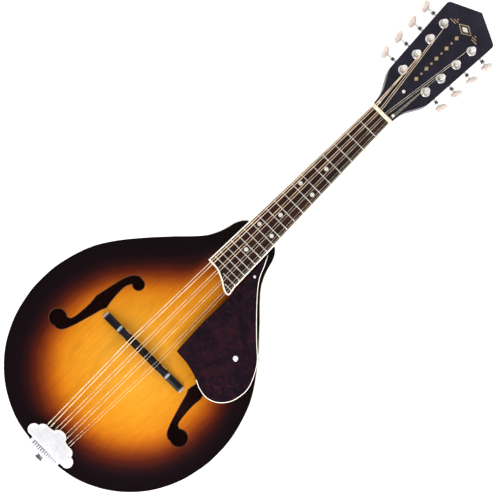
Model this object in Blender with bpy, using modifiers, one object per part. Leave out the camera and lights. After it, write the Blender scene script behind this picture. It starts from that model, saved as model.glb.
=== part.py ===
"""Arch-top mandolin lying on its back: +Y towards the head, +X the treble side, +Z out of the top.

Sizes are in millimetres and become metres as each mesh is made. Along the instrument, "along" is the
distance from the bridge line towards the head; the origin of the world is below the middle of the length.
"""
import math

import bmesh
import bpy
from mathutils import Matrix, Vector

MM = 0.001
GAP = 0.3                      # clearance kept between touching pieces

# Driving dimensions
SCALE_LENGTH = 355.6           # saddle to nut
TAIL_END = -160.0              # outer face of the strap button
HEAD_END = 508.0               # tip of the headstock
MID = (TAIL_END + HEAD_END) / 2

# Body: heights of the plates above the floor
BACK_ARCH = 14.0
TOP_ARCH = 15.0
PLATE = 4.0                    # thickness of both carved plates
BACK_EDGE = BACK_ARCH          # outer face of the back plate at its edge
TOP_EDGE = 58.0                # outer face of the top plate at its edge
RIM_LOW = BACK_EDGE + PLATE + GAP
RIM_HIGH = TOP_EDGE - PLATE - GAP
BINDING = 1.5
PLATE_INSET = BINDING + GAP
RIM_INSET = 0.8
RIM_WALL = 2.4
LINING_DEPTH = 6.0             # inner face of the linings, from the binding's outside
LINING_HEIGHT = 9.0
ARCH_CENTRE = -10.0            # where the arches are highest, along the instrument
RECURVE = 0.93                 # the arch starts at this share of the way out
CONTOUR_RADIUS = 125.0         # the arch's contour lines turn from the outline into circles this wide
BODY_HALF = [(0, -152), (33, -149.6), (59.5, -141.3), (86, -125), (108.9, -100.8), (124.2, -72),
             (131.5, -44), (133.2, -22), (131, 4.3), (121.4, 36.7), (107.6, 60.9), (88.4, 85),
             (66.5, 109.1), (51, 125), (41, 136.6), (34.7, 148.4), (31.5, 158), (29.8, 165),
             (25.8, 173), (20.7, 178)]
BODY_SIDES = 56

# Neck plane: the top of the fingerboard, hinged down towards the head
NECK_ANGLE = math.radians(3.5)
PLANE_HEIGHT = 86.5            # height of the fingerboard's plane above the floor at the bridge line
BOARD = 5.5                    # thickness of the fingerboard
NUT_WIDTH = 28.0
BOARD_TAPER = 0.0261           # half-width gained per millimetre from the nut
NUT_LENGTH = 4.4
FRETS = 20
FRET_HEIGHT = 1.0
FRET_HALF = 1.0
SHORT_FRETS = {19: 0.5, 20: 9.7}            # bass ends of the two frets on the cut-away end
BOARD_END = [(21.6, 109), (21.2, 106.4), (19, 105.4), (15, 106), (10, 108.6), (5, 112), (-2.5, 115.5),
             (-8, 117.4), (-20.6, 118)]

# Head plane: the face of the headstock, starting behind the nut
HEAD_PITCH = math.radians(14.08)
HEAD_DROP = 3.5                # face of the headstock below the fingerboard's plane at the nut
OVERLAY = 2.0
HEADSTOCK = 14.5               # headstock with its overlay
HEAD_HALF = [(0, 156.2), (31.2, 140.8), (33.2, 139.4), (33.9, 136.5), (31.4, 97), (29.4, 64), (28.1, 43),
             (27.3, 39), (25.6, 34.5), (21.6, 27.2), (17.8, 20.5), (15.5, 14), (14.3, 8), (14, 0)]

# Tuners
POST_FIRST = 48.9              # nearest post, from the nut
POST_STEP = 23.0
POST_NEAR = 16.8               # nearest post, from the centre line
POST_SPLAY = math.radians(3.3)
POST_RADIUS = 3.0
POST_TOP = 14.0
TUNER_PLATE = 1.2
GEAR_TEETH = 14
GEAR_RADIUS = 5.2
GEAR_THICK = 4.0
WORM_RADIUS = 2.2
WORM_OFFSET = GEAR_RADIUS + WORM_RADIUS + GAP
SHAFT_RADIUS = 1.5
LUG_NEAR, LUG_FAR = 5.2, 6.6
BUTTON_PLACE = 25.7            # centre of the button, from the post

# Strings: radius, place at the tailpiece, bridge and nut, and the post each one goes to
STRINGS = {"G1": (0.455, -18.0, -19.9, -11.5, 0), "G2": (0.455, -14.0, -16.7, -9.3, 1),
           "D1": (0.305, -8.5, -7.7, -4.6, 2), "D2": (0.305, -4.5, -4.5, -2.4, 3),
           "A1": (0.18, 3.0, 4.5, 2.4, 3), "A2": (0.18, 7.0, 7.7, 4.6, 2),
           "E1": (0.125, 12.0, 16.7, 9.3, 1), "E2": (0.125, 15.0, 19.9, 11.5, 0)}
STRING_AT_NUT = 1.5            # underside of the strings above the fingerboard's plane
STRING_AT_SADDLE = 4.1
HOOK_PLACE = -128.0
HOOK_HEIGHT = 65.5


def top_collection(name):
    """A collection of this name, linked to the scene."""
    collection = bpy.data.collections.new(name)
    bpy.context.scene.collection.children.link(collection)
    return collection


for old in list(bpy.data.objects):
    bpy.data.objects.remove(old, do_unlink=True)
PARTS = top_collection("mandolin")
CUTTERS = top_collection("mandolin_cutters")


def material(name, color, roughness, metallic=0.0):
    """A Principled material."""
    made = bpy.data.materials.new(name)
    made.use_nodes = True
    shader = made.node_tree.nodes["Principled BSDF"]
    shader.inputs["Base Color"].default_value = (*color, 1.0)
    shader.inputs["Roughness"].default_value = roughness
    shader.inputs["Metallic"].default_value = metallic
    return made


SPRUCE = material("sunburst_spruce", (0.62, 0.24, 0.04), 0.2)
MAHOGANY = material("mahogany", (0.16, 0.04, 0.02), 0.25)
INNER_WOOD = material("inner_wood", (0.55, 0.36, 0.18), 0.6)
CREAM = material("cream_binding", (0.82, 0.74, 0.55), 0.35)
EBONY = material("black_overlay", (0.015, 0.014, 0.022), 0.2)
ROSEWOOD = material("rosewood", (0.06, 0.025, 0.018), 0.45)
BONE = material("bone", (0.85, 0.78, 0.6), 0.4)
TORTOISE = material("tortoise", (0.09, 0.02, 0.03), 0.15)
BRIDGE_BLACK = material("bridge_black", (0.02, 0.018, 0.018), 0.3)
CHROME = material("chrome", (0.85, 0.85, 0.87), 0.12, 1.0)
NICKEL = material("nickel", (0.66, 0.63, 0.58), 0.28, 1.0)
STEEL = material("steel", (0.6, 0.6, 0.6), 0.35, 1.0)
BRASS = material("brass", (0.75, 0.55, 0.25), 0.3, 1.0)
PEARLOID = material("pearloid", (0.72, 0.6, 0.52), 0.3)
BRONZE_STRING = material("bronze_string", (0.7, 0.45, 0.2), 0.35, 1.0)
PLAIN_STRING = material("plain_string", (0.75, 0.75, 0.78), 0.25, 1.0)


def empty(name, along, height, tilt, parent=None):
    """A guide whose local X, Y, Z are across, along and out of the plane that it stands for."""
    guide = bpy.data.objects.new(name, None)
    PARTS.objects.link(guide)
    guide.location = Vector((0, along, height)) * MM
    guide.rotation_euler = (-tilt, 0, 0)
    guide.parent = parent
    return guide


WORLD = empty("bridge_line", -MID, 0, 0)
NECK = empty("neck_plane", 0, PLANE_HEIGHT, NECK_ANGLE, WORLD)
HEAD_START = SCALE_LENGTH + NUT_LENGTH
HEAD = empty("head_plane", HEAD_START, -HEAD_DROP, HEAD_PITCH, NECK)


def place(mesh, name, colour, parent=WORLD, cutter=False):
    """An object for this mesh in the plane of a guide."""
    obj = bpy.data.objects.new(name, mesh)
    obj.parent = parent
    (CUTTERS if cutter else PARTS).objects.link(obj)
    if cutter:
        obj.hide_render = True
        obj.display_type = "WIRE"
    elif not mesh.materials:
        mesh.materials.append(colour)
    return obj


def finished(bm, name):
    """The mesh of this bmesh in metres, with its faces pointing out and its round parts smooth."""
    bmesh.ops.recalc_face_normals(bm, faces=bm.faces)
    bmesh.ops.scale(bm, vec=(MM, MM, MM), verts=bm.verts)
    mesh = bpy.data.meshes.new(name)
    bm.to_mesh(mesh)
    bm.free()
    mesh.shade_smooth()
    mesh.set_sharp_from_angle(angle=math.radians(35))
    return mesh


def loft(name, rings, endless=False):
    """Skin rings of equal length. The ends are capped, or joined to each other when endless."""
    bm = bmesh.new()
    rows = [[bm.verts.new(point) for point in ring] for ring in rings]
    pairs = list(zip(rows, rows[1:])) + ([(rows[-1], rows[0])] if endless else [])
    for low, high in pairs:
        for i in range(len(low)):
            j = (i + 1) % len(low)
            bm.faces.new((low[i], low[j], high[j], high[i]))
    if not endless:
        bm.faces.new(rows[0])
        bm.faces.new(rows[-1])
    return finished(bm, name)


def level(outline, height):
    """The outline's points at one height."""
    return [(x, y, height) for x, y in outline]


def prism(name, outline, low, high):
    """A flat outline between two heights, from a filled 2D curve."""
    curve = bpy.data.curves.new(name, "CURVE")
    curve.dimensions = "2D"
    curve.fill_mode = "BOTH"
    curve.extrude = (high - low) / 2 * MM
    spline = curve.splines.new("POLY")
    spline.points.add(len(outline) - 1)
    for point, (x, y) in zip(spline.points, outline):
        point.co = (x * MM, y * MM, 0, 1)
    spline.use_cyclic_u = True
    return curve_mesh(curve, (low + high) / 2)


def curve_mesh(curve, lift=0.0):
    """The welded mesh of a curve, raised by lift."""
    holder = bpy.data.objects.new(curve.name, curve)
    PARTS.objects.link(holder)
    evaluated = holder.evaluated_get(bpy.context.evaluated_depsgraph_get())
    mesh = bpy.data.meshes.new_from_object(evaluated)
    bpy.data.objects.remove(holder)
    bm = bmesh.new()
    bm.from_mesh(mesh)
    bmesh.ops.remove_doubles(bm, verts=bm.verts, dist=1e-7)
    bmesh.ops.translate(bm, vec=(0, 0, lift * MM), verts=bm.verts)
    bmesh.ops.recalc_face_normals(bm, faces=bm.faces)
    bm.to_mesh(mesh)
    bm.free()
    return mesh


def cylinder(name, radius, low, high, centre=(0, 0), sides=24):
    """An upright cylinder between two heights."""
    bm = bmesh.new()
    middle = Matrix.Translation((*centre, (low + high) / 2))
    bmesh.ops.create_cone(bm, cap_ends=True, segments=sides, radius1=radius, radius2=radius,
                          depth=high - low, matrix=middle)
    return finished(bm, name)


def box(name, low, high):
    """A box between two corners."""
    bm = bmesh.new()
    bmesh.ops.create_cube(bm, size=1.0)
    size = Vector(high) - Vector(low)
    bmesh.ops.scale(bm, vec=size, verts=bm.verts)
    bmesh.ops.translate(bm, vec=(Vector(low) + Vector(high)) / 2, verts=bm.verts)
    return finished(bm, name)


def turned(name, profile, colour, parent=WORLD, sides=16):
    """A solid of revolution about local Z; the profile's (radius, height) points run top to bottom."""
    bm = bmesh.new()
    points = [(0, profile[0][1])] + list(profile) + [(0, profile[-1][1])]
    verts = [bm.verts.new((radius * MM, 0, height * MM)) for radius, height in points]
    for pair in zip(verts, verts[1:]):
        bm.edges.new(pair)
    mesh = bpy.data.meshes.new(name)
    bm.to_mesh(mesh)
    bm.free()
    obj = place(mesh, name, colour, parent)
    screw = obj.modifiers.new("turn", "SCREW")
    screw.steps = screw.render_steps = sides
    screw.use_merge_vertices = True
    screw.merge_threshold = 1e-6
    screw.use_smooth_shade = True
    return obj


def solid(obj):
    """Apply the modifiers, so that the mesh itself can be shared or joined."""
    evaluated = obj.evaluated_get(bpy.context.evaluated_depsgraph_get())
    mesh = bpy.data.meshes.new_from_object(evaluated)
    obj.modifiers.clear()
    obj.data = mesh
    return obj


def joined(meshes, name):
    """Several closed meshes as one, for use as a cutter."""
    bm = bmesh.new()
    for mesh in meshes:
        bm.from_mesh(mesh)
    mesh = bpy.data.meshes.new(name)
    bm.to_mesh(mesh)
    bm.free()
    return mesh


def boolean(obj, mesh, operation="DIFFERENCE", parent=None):
    """Cut obj with the mesh, or join the mesh to it. Both are in the plane of the parent."""
    tool = place(mesh, f"{mesh.name}_tool", None, parent or obj.parent, cutter=True)
    modifier = obj.modifiers.new(mesh.name, "BOOLEAN")
    modifier.operation = operation
    modifier.object = tool
    return tool


# Outlines

def smooth(points, steps):
    """A Catmull-Rom curve through the points, from the first to the last."""
    guides = [Vector(point) for point in points]
    guides = [2 * guides[0] - guides[1]] + guides + [2 * guides[-1] - guides[-2]]
    curve = []
    for a, b, c, d in zip(guides, guides[1:], guides[2:], guides[3:]):
        for step in range(steps):
            t = step / steps
            curve.append(0.5 * (2 * b + (c - a) * t + (2 * a - 5 * b + 4 * c - d) * t ** 2
                                + (3 * b - a - 3 * c + d) * t ** 3))
    return curve + [guides[-2]]


def resample(points, count):
    """The same line with count points at equal distances."""
    lengths = [0.0]
    for a, b in zip(points, points[1:]):
        lengths.append(lengths[-1] + (b - a).length)
    line = []
    i = 0
    for k in range(count):
        goal = lengths[-1] * k / (count - 1)
        while i < len(points) - 2 and lengths[i + 1] < goal:
            i += 1
        t = (goal - lengths[i]) / (lengths[i + 1] - lengths[i])
        line.append(points[i].lerp(points[i + 1], t))
    return line


def inset(outline, distance, closed=True):
    """Move each point of a counterclockwise outline inwards."""
    points = [Vector(point) for point in outline]
    if closed:
        points = [points[-1]] + points + [points[0]]
    else:
        points = [2 * points[0] - points[1]] + points + [2 * points[-1] - points[-2]]
    moved = []
    for before, point, after in zip(points, points[1:], points[2:]):
        arriving = (point - before).normalized()
        leaving = (after - point).normalized()
        run = (arriving + leaving).normalized()
        miter = distance / max(0.5, run.dot(arriving))
        moved.append((point.x - run.y * miter, point.y + run.x * miter))
    return moved


def arc(centre, radius, start, end, steps):
    """Points of a circular arc; the angles are in degrees."""
    return [(centre[0] + radius * math.cos(math.radians(start + (end - start) * k / steps)),
             centre[1] + radius * math.sin(math.radians(start + (end - start) * k / steps)))
            for k in range(steps + 1)]


RIGHT = BODY_HALF
LEFT = [(-x, y) for x, y in BODY_HALF[:0:-1]]
BODY = [tuple(point) for point in resample(smooth(LEFT + RIGHT, 6), BODY_SIDES)]


def edge_radius(angle):
    """Distance from the arch's centre to the plate's edge in a direction."""
    ray = Vector((math.cos(angle), math.sin(angle)))
    best = 0.0
    for a, b in zip(BODY, BODY[1:] + BODY[:1]):
        start = Vector((a[0], a[1] - ARCH_CENTRE))
        side = Vector((b[0] - a[0], b[1] - a[1]))
        bottom = ray.x * side.y - ray.y * side.x
        if abs(bottom) < 1e-9:
            continue
        t = (start.x * side.y - start.y * side.x) / bottom
        s = (start.x * ray.y - start.y * ray.x) / bottom
        if t > 0 and -1e-9 <= s <= 1 + 1e-9:
            best = max(best, t)
    return best


def arch(share):
    """Height of the arch, from 0 at the edge to 1 at the centre."""
    t = max(0.0, (RECURVE - share) / RECURVE)
    return math.sin(math.pi / 2 * t) ** 1.3


def top_height(x, along):
    """Height of the top's outer face."""
    offset = Vector((x, along - ARCH_CENTRE))
    spare = edge_radius(math.atan2(offset.y, offset.x)) - CONTOUR_RADIUS
    if abs(spare) < 1e-3:
        share = offset.length / CONTOUR_RADIUS
    else:
        share = (math.sqrt(CONTOUR_RADIUS ** 2 + 4 * spare * offset.length) - CONTOUR_RADIUS) / (2 * spare)
    return TOP_EDGE + TOP_ARCH * arch(share)


def contour(outline, share):
    """The arch's contour line: the outline when share is 1, and nearly a circle towards the centre."""
    line = []
    for x, y in outline:
        ray = Vector((x, y - ARCH_CENTRE))
        reach = share * share * ray.length + share * (1 - share) * CONTOUR_RADIUS
        spot = ray.normalized() * reach
        line.append((spot.x, spot.y + ARCH_CENTRE))
    return line


def board_half(along_board):
    """Half the width of the fingerboard with its binding."""
    return NUT_WIDTH / 2 + BOARD_TAPER * (SCALE_LENGTH - along_board)


# Body

PLATE_SHARES = [1.0, 0.95, 0.88, 0.77, 0.6, 0.34]    # the arch's modelled contour lines


def plate(name, edge, rise, colour):
    """A carved plate: contour lines that shrink towards the arch's centre, thickened inwards."""
    outline = inset(BODY, PLATE_INSET)
    bm = bmesh.new()
    rows = []
    for share in PLATE_SHARES:
        height = edge + rise * arch(share)
        rows.append([bm.verts.new(point) for point in level(contour(outline, share), height)])
    apex = bm.verts.new((0, ARCH_CENTRE, edge + rise))
    for outer, inner in zip(rows, rows[1:]):
        for i in range(len(outer)):
            j = (i + 1) % len(outer)
            bm.faces.new((outer[i], outer[j], inner[j], inner[i]))
    for i in range(len(rows[-1])):
        bm.faces.new((rows[-1][i], rows[-1][(i + 1) % len(rows[-1])], apex))
    if rise < 0:
        bmesh.ops.reverse_faces(bm, faces=bm.faces)
    bmesh.ops.scale(bm, vec=(MM, MM, MM), verts=bm.verts)
    mesh = bpy.data.meshes.new(name)
    bm.to_mesh(mesh)
    bm.free()
    mesh.shade_smooth()
    obj = place(mesh, name, colour)
    shell = obj.modifiers.new("thickness", "SOLIDIFY")
    shell.thickness = PLATE * MM
    shell.offset = -1
    return obj


def f_hole(side):
    """The cutters of one f-hole: its stem and its two eyes. Side is 1 for treble and -1 for bass."""
    outer = smooth([(58.8, 53.8), (65, 50), (69, 42.5), (72.5, 30), (75.3, 17.5), (76.4, 6), (76.6, -8),
                    (77.5, -22), (79.6, -28.6), (83.8, -31)], 2)
    inner = smooth([(86, -47.5), (80, -45), (75.6, -38), (71.3, -26), (67.4, -12), (64.2, 0), (62.9, 14),
                    (63.7, 28), (63, 36), (60.3, 42)], 2)
    stem = [(54.5, 47)] + [tuple(p) for p in outer] + [(90.5, -38)] + [tuple(p) for p in inner]
    low, high = 40, 90
    pieces = [prism("f_hole_stem", [(side * x, y) for x, y in stem], low, high),
              cylinder("f_hole_eye", 6.3, low, high, (side * 54.5, 47)),
              cylinder("f_hole_eye", 9.3, low, high, (side * 90.5, -38))]
    return pieces


def body():
    top = plate("top_plate", TOP_EDGE, TOP_ARCH, SPRUCE)
    for side in (1, -1):
        for piece in f_hole(side):
            boolean(top, piece)
    plate("back_plate", BACK_EDGE, -BACK_ARCH, MAHOGANY)
    rim_section = [(RIM_INSET, RIM_LOW), (RIM_INSET, RIM_HIGH), (LINING_DEPTH, RIM_HIGH),
                   (LINING_DEPTH, RIM_HIGH - LINING_HEIGHT),
                   (RIM_INSET + RIM_WALL, RIM_HIGH - LINING_HEIGHT - 3),
                   (RIM_INSET + RIM_WALL, RIM_LOW + LINING_HEIGHT + 3),
                   (LINING_DEPTH, RIM_LOW + LINING_HEIGHT), (LINING_DEPTH, RIM_LOW)]
    place(ring(rim_section, "rim"), "rim", MAHOGANY)
    low, high = TOP_EDGE - PLATE, TOP_EDGE + 0.2
    place(ring([(0, low), (0, high), (BINDING, high), (BINDING, low)], "top_binding"), "top_binding", CREAM)
    low, high = BACK_EDGE - 0.2, BACK_EDGE + PLATE
    place(ring([(0, low), (0, high), (BINDING, high), (BINDING, low)], "back_binding"), "back_binding",
          CREAM)
    inside = inset(BODY, LINING_DEPTH + GAP)
    blocks = {"neck_block": [p for p in inside if p[1] > 128], "tail_block": tail_end(inside, 36, -128)}
    for name, outline in blocks.items():
        place(prism(name, outline, RIM_LOW, RIM_HIGH), name, INNER_WOOD)
    tone_bar("bass_tone_bar", -17, -30)
    tone_bar("treble_tone_bar", 17, 30)


def ring(section, name):
    """A section of (inset, height) points carried round the body's outline."""
    return loft(name, [level(inset(BODY, depth), height) for depth, height in section], endless=True)


def tail_end(outline, half, limit):
    """The outline's stretch at the tail, within half of the centre line, closed at the limit."""
    stretch = sorted((p for p in outline if p[1] < limit and abs(p[0]) < half), key=lambda p: p[0])
    return stretch + [(half, limit), (-half, limit)]


def tone_bar(name, near_x, far_x):
    """A bar under the top, deepest in the middle and running out at both ends."""
    head_end, tail_end, half_width, depth = 92, -112, 3, 11
    rings = []
    stations = 12
    for k in range(stations + 1):
        t = k / stations
        along = head_end + (tail_end - head_end) * t
        x = near_x + (far_x - near_x) * t
        high = min(top_height(x - half_width, along), top_height(x + half_width, along)) - PLATE - 0.9
        low = high - 2 - depth * math.sin(math.pi * t) ** 0.7
        rings.append([(x - half_width, along, low), (x + half_width, along, low),
                      (x + half_width, along, high), (x - half_width, along, high)])
    place(loft(name, rings), name, INNER_WOOD)


# Neck and head

HEEL_FACE = 178.4              # the heel meets the rim here


def plane_height(along):
    """Height of the fingerboard's plane above the floor."""
    return PLANE_HEIGHT - along * math.tan(NECK_ANGLE)


def neck_section(along, depth, power, width):
    """A half-round section of the neck, from treble edge to bass edge."""
    sink = max(0.0, along - HEAD_START)
    top = plane_height(along) - (BOARD + GAP) / math.cos(NECK_ANGLE) - sink
    points = []
    steps = 14
    for k in range(steps + 1):
        turn = math.pi * k / steps
        across = math.copysign(abs(math.cos(turn)) ** power, math.cos(turn))
        points.append((width * across, along, top - depth * math.sin(turn) ** 0.85))
    return points


def neck():
    stations = [(HEEL_FACE, 51.5, 1.5), (180.5, 50, 1.45), (183, 45.5, 1.4), (186, 38, 1.3), (190, 30.5, 1.2),
                (195, 24.5, 1.1), (202, 20, 1.0), (215, 17, 0.9), (240, 16, 0.85), (320, 14.4, 0.8),
                (350, 13.6, 0.8), (HEAD_START - 0.6, 12.6, 0.8), (HEAD_START + 2, 9, 0.8)]
    rings = [neck_section(along, depth, power, board_half(along / math.cos(NECK_ANGLE)))
             for along, depth, power in stations]
    mesh = loft("neck", rings)
    obj = place(mesh, "neck", MAHOGANY)
    tongue_end, tongue_start = 122, HEEL_FACE + 3
    half = board_half(tongue_start) - 3
    rows = []
    for k in range(7):
        along = tongue_end + (tongue_start - tongue_end) * k / 6
        high = plane_height(along) - (BOARD + GAP) / math.cos(NECK_ANGLE) - (0.02 if k == 6 else 0)
        low = max(top_height(x, min(along, 176)) for x in (0, half / 2, half)) + 0.8
        rows.append([(half, along, low), (half, along, high), (-half, along, high), (-half, along, low)])
    boolean(obj, loft("neck_tongue", rows), "UNION")
    wood = prism("headstock_wood", mirrored(HEAD_HALF, 0.1), -HEADSTOCK, -OVERLAY - GAP)
    boolean(obj, wood, "UNION", HEAD)
    overlay = place(prism("headstock_overlay", mirrored(HEAD_HALF, 0.3), -OVERLAY, 0),
                    "headstock_overlay", EBONY, HEAD)
    holes = [cylinder("post_hole", POST_RADIUS + 2 * GAP, -HEADSTOCK - 3, 3, post_place(side, k)[:2], 10)
             for side in (1, -1) for k in range(4)]
    for piece in (obj, overlay):
        boolean(piece, joined(holes, "post_holes"), parent=HEAD)
        boolean(piece, box("rod_pocket", (-4.6, 2.2, -10), (4.6, 28, 4)), parent=HEAD)
    truss_rod(obj)


def mirrored(half, start):
    """A symmetric outline from its treble half, whose last point is moved to the start value."""
    right = half[:-1] + [(half[-1][0], start)]
    return right[::-1] + [(-x, y) for x, y in right[1:]]


ROD_DEPTH = 11.0               # the rod's axis below the fingerboard's plane
ROD_RADIUS = 2.4
ROD_START, ROD_END = 200.0, 376.0


def truss_rod(wood):
    """The rod in its bore, its nut in the pocket behind the overlay, and the cover."""
    bore = cylinder("rod_bore", ROD_RADIUS + GAP, ROD_START - GAP, ROD_END + 2)
    turn = empty("rod_axis", 0, -ROD_DEPTH, math.radians(90), NECK)
    turn.rotation_euler = (math.radians(-90), 0, 0)
    boolean(wood, bore, parent=turn)
    place(cylinder("truss_rod", ROD_RADIUS, ROD_START, ROD_END, sides=16), "truss_rod", STEEL, turn)
    low, high = ROD_END - 9, ROD_END + 1
    rod_nut = place(cylinder("truss_rod_nut", 3.6, low, high, sides=6), "truss_rod_nut", BRASS, turn)
    boolean(rod_nut, cylinder("nut_bore", ROD_RADIUS + GAP, low - 1, high + 1))
    cover = [(11.3, 1.6), (12.2, 4.5), (10.6, 8), (8, 12), (6.4, 18), (5.2, 25), (4.2, 30.5), (2.4, 34.3),
             (0, 35.6)]
    outline = cover + [(-x, y) for x, y in cover[-2::-1]]
    place(prism("truss_rod_cover", outline, GAP, GAP + 1.6), "truss_rod_cover", EBONY, HEAD)


def board_path(distance):
    """The fingerboard's side and end line, treble nut corner to bass nut corner, moved inwards."""
    nut_end = SCALE_LENGTH - GAP
    treble = [(board_half(a), a) for a in (nut_end, 240, 116)]
    bass = [(-board_half(a), a) for a in (240, nut_end)]
    end = [tuple(point) for point in smooth(BOARD_END, 2)]
    line = treble + end + bass
    path = inset(line, -distance, closed=False)
    path[0] = (path[0][0], nut_end)
    path[-1] = (path[-1][0], nut_end)
    return path


def fingerboard():
    board = place(prism("fingerboard", board_path(BINDING + GAP), -BOARD, 0), "fingerboard", ROSEWOOD, NECK)
    strip = board_path(0) + board_path(BINDING)[::-1]
    place(prism("fingerboard_binding", strip, -BOARD, 0), "fingerboard_binding", CREAM, NECK)
    frets = []
    for number in range(1, FRETS + 1):
        place_at = SCALE_LENGTH * 2 ** (-number / 12)
        reach = board_half(place_at) - BINDING - 2 * GAP
        start = SHORT_FRETS.get(number, -reach)
        crown = [(FRET_HALF, -0.6), (FRET_HALF, 0.15), (0.75, 0.72), (0, FRET_HEIGHT), (-0.75, 0.72),
                 (-FRET_HALF, 0.15), (-FRET_HALF, -0.6)]
        frets.append(loft("fret", [[(x, place_at + y, z) for y, z in crown] for x in (start, reach)]))
    boolean(board, joined(frets, "frets"), "UNION")
    half = NUT_WIDTH / 2
    place(box("nut", (-half, SCALE_LENGTH, -BOARD), (half, HEAD_START - GAP, STRING_AT_NUT - GAP)),
          "nut", BONE, NECK)


# Fittings

GUARD_LEVEL = -3.0
GUARD_THICK = 1.7
GUARD_OUTER = [(20.6, 167), (26.2, 156), (33.7, 140), (50, 120.5), (75, 95), (92, 79), (101.2, 64),
               (105.5, 52), (105.8, 42), (102.5, 29), (94, 18.2), (82, 13), (69, 14.4), (55, 20.8),
               (40, 24.6)]
GUARD_INNER = [(23.8, 25.8), (21.9, 70), (22.9, 104), (22.0, 130)]
GUARD_SCREW = (73.5, 64.25)    # the screw that holds the guard to its bracket
GUARD_OUTWARD = (0.68, 0.733)  # the way the bracket runs from there to the rim
BRACKET_HALF = 4.0
BRACKET_FOOT = 34.0            # height of the bracket's lower end on the rim


def pickguard():
    outline = [tuple(point) for point in smooth(GUARD_OUTER, 2)] + GUARD_INNER
    guard = place(prism("pickguard", outline, GUARD_LEVEL - GUARD_THICK, GUARD_LEVEL), "pickguard",
                  TORTOISE, NECK)
    guard.data.shade_flat()
    screw = Vector(GUARD_SCREW)
    outward = Vector(GUARD_OUTWARD).normalized()
    under = plane_height(screw.y) + GUARD_LEVEL - GUARD_THICK - 0.9
    profile = [(-6, under - 1.6), (-6, under - 3.0), (26.2, under - 6.2), (26.2, BRACKET_FOOT),
               (27.6, BRACKET_FOOT), (27.6, under - 4.8)]
    side = Vector((outward.y, -outward.x))
    rings = []
    for offset in (-BRACKET_HALF, BRACKET_HALF):
        rings.append([(*(screw + outward * run + side * offset), height) for run, height in profile])
    place(loft("pickguard_bracket", rings), "pickguard_bracket", NICKEL)


BRIDGE_HALF = 57.0             # half the length of the bridge's base
BRIDGE_WIDTH_HALF = 4.2
BRIDGE_WING = 35.0             # the base's top falls away from here to its ends
BRIDGE_FLAT = 79.0             # height of the base's flat top
BRIDGE_STATIONS = [0, 9, 18, 27, 35, 42, 50, BRIDGE_HALF]
POST_PLACE = 27.0              # bridge posts from the centre line
BRIDGE_POST = 1.75             # radius of the posts
BRIDGE_POST_TOP = 86.2
WHEEL_RADIUS = 5.5
WHEEL_LOW = 80.8
SADDLE_LOW = 83.5
SADDLE_HALF_WIDTH = 3.6
SADDLE_HOLE_TOP = 88.0         # leaves room for the posts when the saddle is wound all the way down


def bridge():
    """Base on the arched top with two threaded posts, two thumbwheels and the saddle they carry."""
    rings = []
    for x in [-x for x in BRIDGE_STATIONS[:0:-1]] + BRIDGE_STATIONS:
        edges = (-BRIDGE_WIDTH_HALF, BRIDGE_WIDTH_HALF)
        low = max(top_height(x, y) for y in (0, *edges)) + GAP
        fall = max(0.0, (abs(x) - BRIDGE_WING) / (BRIDGE_HALF - BRIDGE_WING))
        high = max(BRIDGE_FLAT - 5.5 * fall ** 0.8, low + 2.2)
        rings.append([(x, edges[0], low), (x, edges[1], low), (x, edges[1], high), (x, edges[0], high)])
    base = place(loft("bridge_base", rings), "bridge_base", BRIDGE_BLACK)
    for side in (-1, 1):
        post = cylinder("bridge_post", BRIDGE_POST, BRIDGE_FLAT - 2, BRIDGE_POST_TOP, (side * POST_PLACE, 0),
                        12)
        boolean(base, post, "UNION")
    saddle_top = plane_height(0) + STRING_AT_SADDLE - GAP
    sections = []
    wide = SADDLE_HALF_WIDTH
    for x, high, thick in [(-37, 86.2, 1.6), (-34, 88.6, 2.0), (-22, saddle_top, 2.2), (0, saddle_top, 2.2),
                           (22, saddle_top, 2.2), (34, 88.6, 2.0), (37, 86.2, 1.6)]:
        low = SADDLE_LOW if abs(x) < 35 else SADDLE_LOW + 1
        sections.append([(x, -wide, low), (x, wide, low), (x, wide, low + 2.2), (x, thick - 0.6, high),
                         (x, 0.6 - thick, high), (x, -wide, low + 2.2)])
    saddle = place(loft("bridge_saddle", sections), "bridge_saddle", BRIDGE_BLACK)
    for side, name in ((-1, "bridge_wheel_bass"), (1, "bridge_wheel_treble")):
        centre = (side * POST_PLACE, 0)
        hole = cylinder("saddle_hole", BRIDGE_POST + GAP, SADDLE_LOW - 2, SADDLE_HOLE_TOP, centre, 12)
        boolean(saddle, hole)
        wheel = place(cylinder(name, WHEEL_RADIUS, WHEEL_LOW, SADDLE_LOW - GAP, centre, 20), name, BRASS)
        bore = cylinder("wheel_bore", BRIDGE_POST + GAP, WHEEL_LOW - 1, SADDLE_LOW + 1, centre, 12)
        boolean(wheel, bore)


TAIL_PLATE_HALF = 20.0         # half the width of the tailpiece's base
TAIL_PLATE_TOP = 63.5
TAIL_PLATE = 1.5               # its thickness
TAIL_PLATE_HEAD = -122.0       # its end towards the bridge
TAIL_BEND = -154.2             # outer face of the part that is bent down the tail
TAIL_FOOT = 28.0               # lower end of that part
COVER_LOBES = [((24.5, -139.5), 6.8, -75, 75, 6), ((17, -134), 7.6, -5, 105, 5),
               ((0, -128.6), 9.2, 20, 160, 8), ((-17, -134), 7.6, 75, 185, 5),
               ((-24.5, -139.5), 6.8, 105, 255, 6)]
COVER_ROOF = 72.0
COVER_WALL = 1.2
MOUTH_HALF = 21.0              # the strings leave the cover through its open mouth
MOUTH_TOP = 69.6
STRAP_LEVEL = 38.0             # height of the strap button's axis
STRAP_SHANK = 2.6              # radius of its shank


def cloud(distance):
    """The cover's lobed outline, moved inwards."""
    return [p for centre, radius, start, end, steps in COVER_LOBES
            for p in arc(centre, radius - distance, start, end, steps)]


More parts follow.
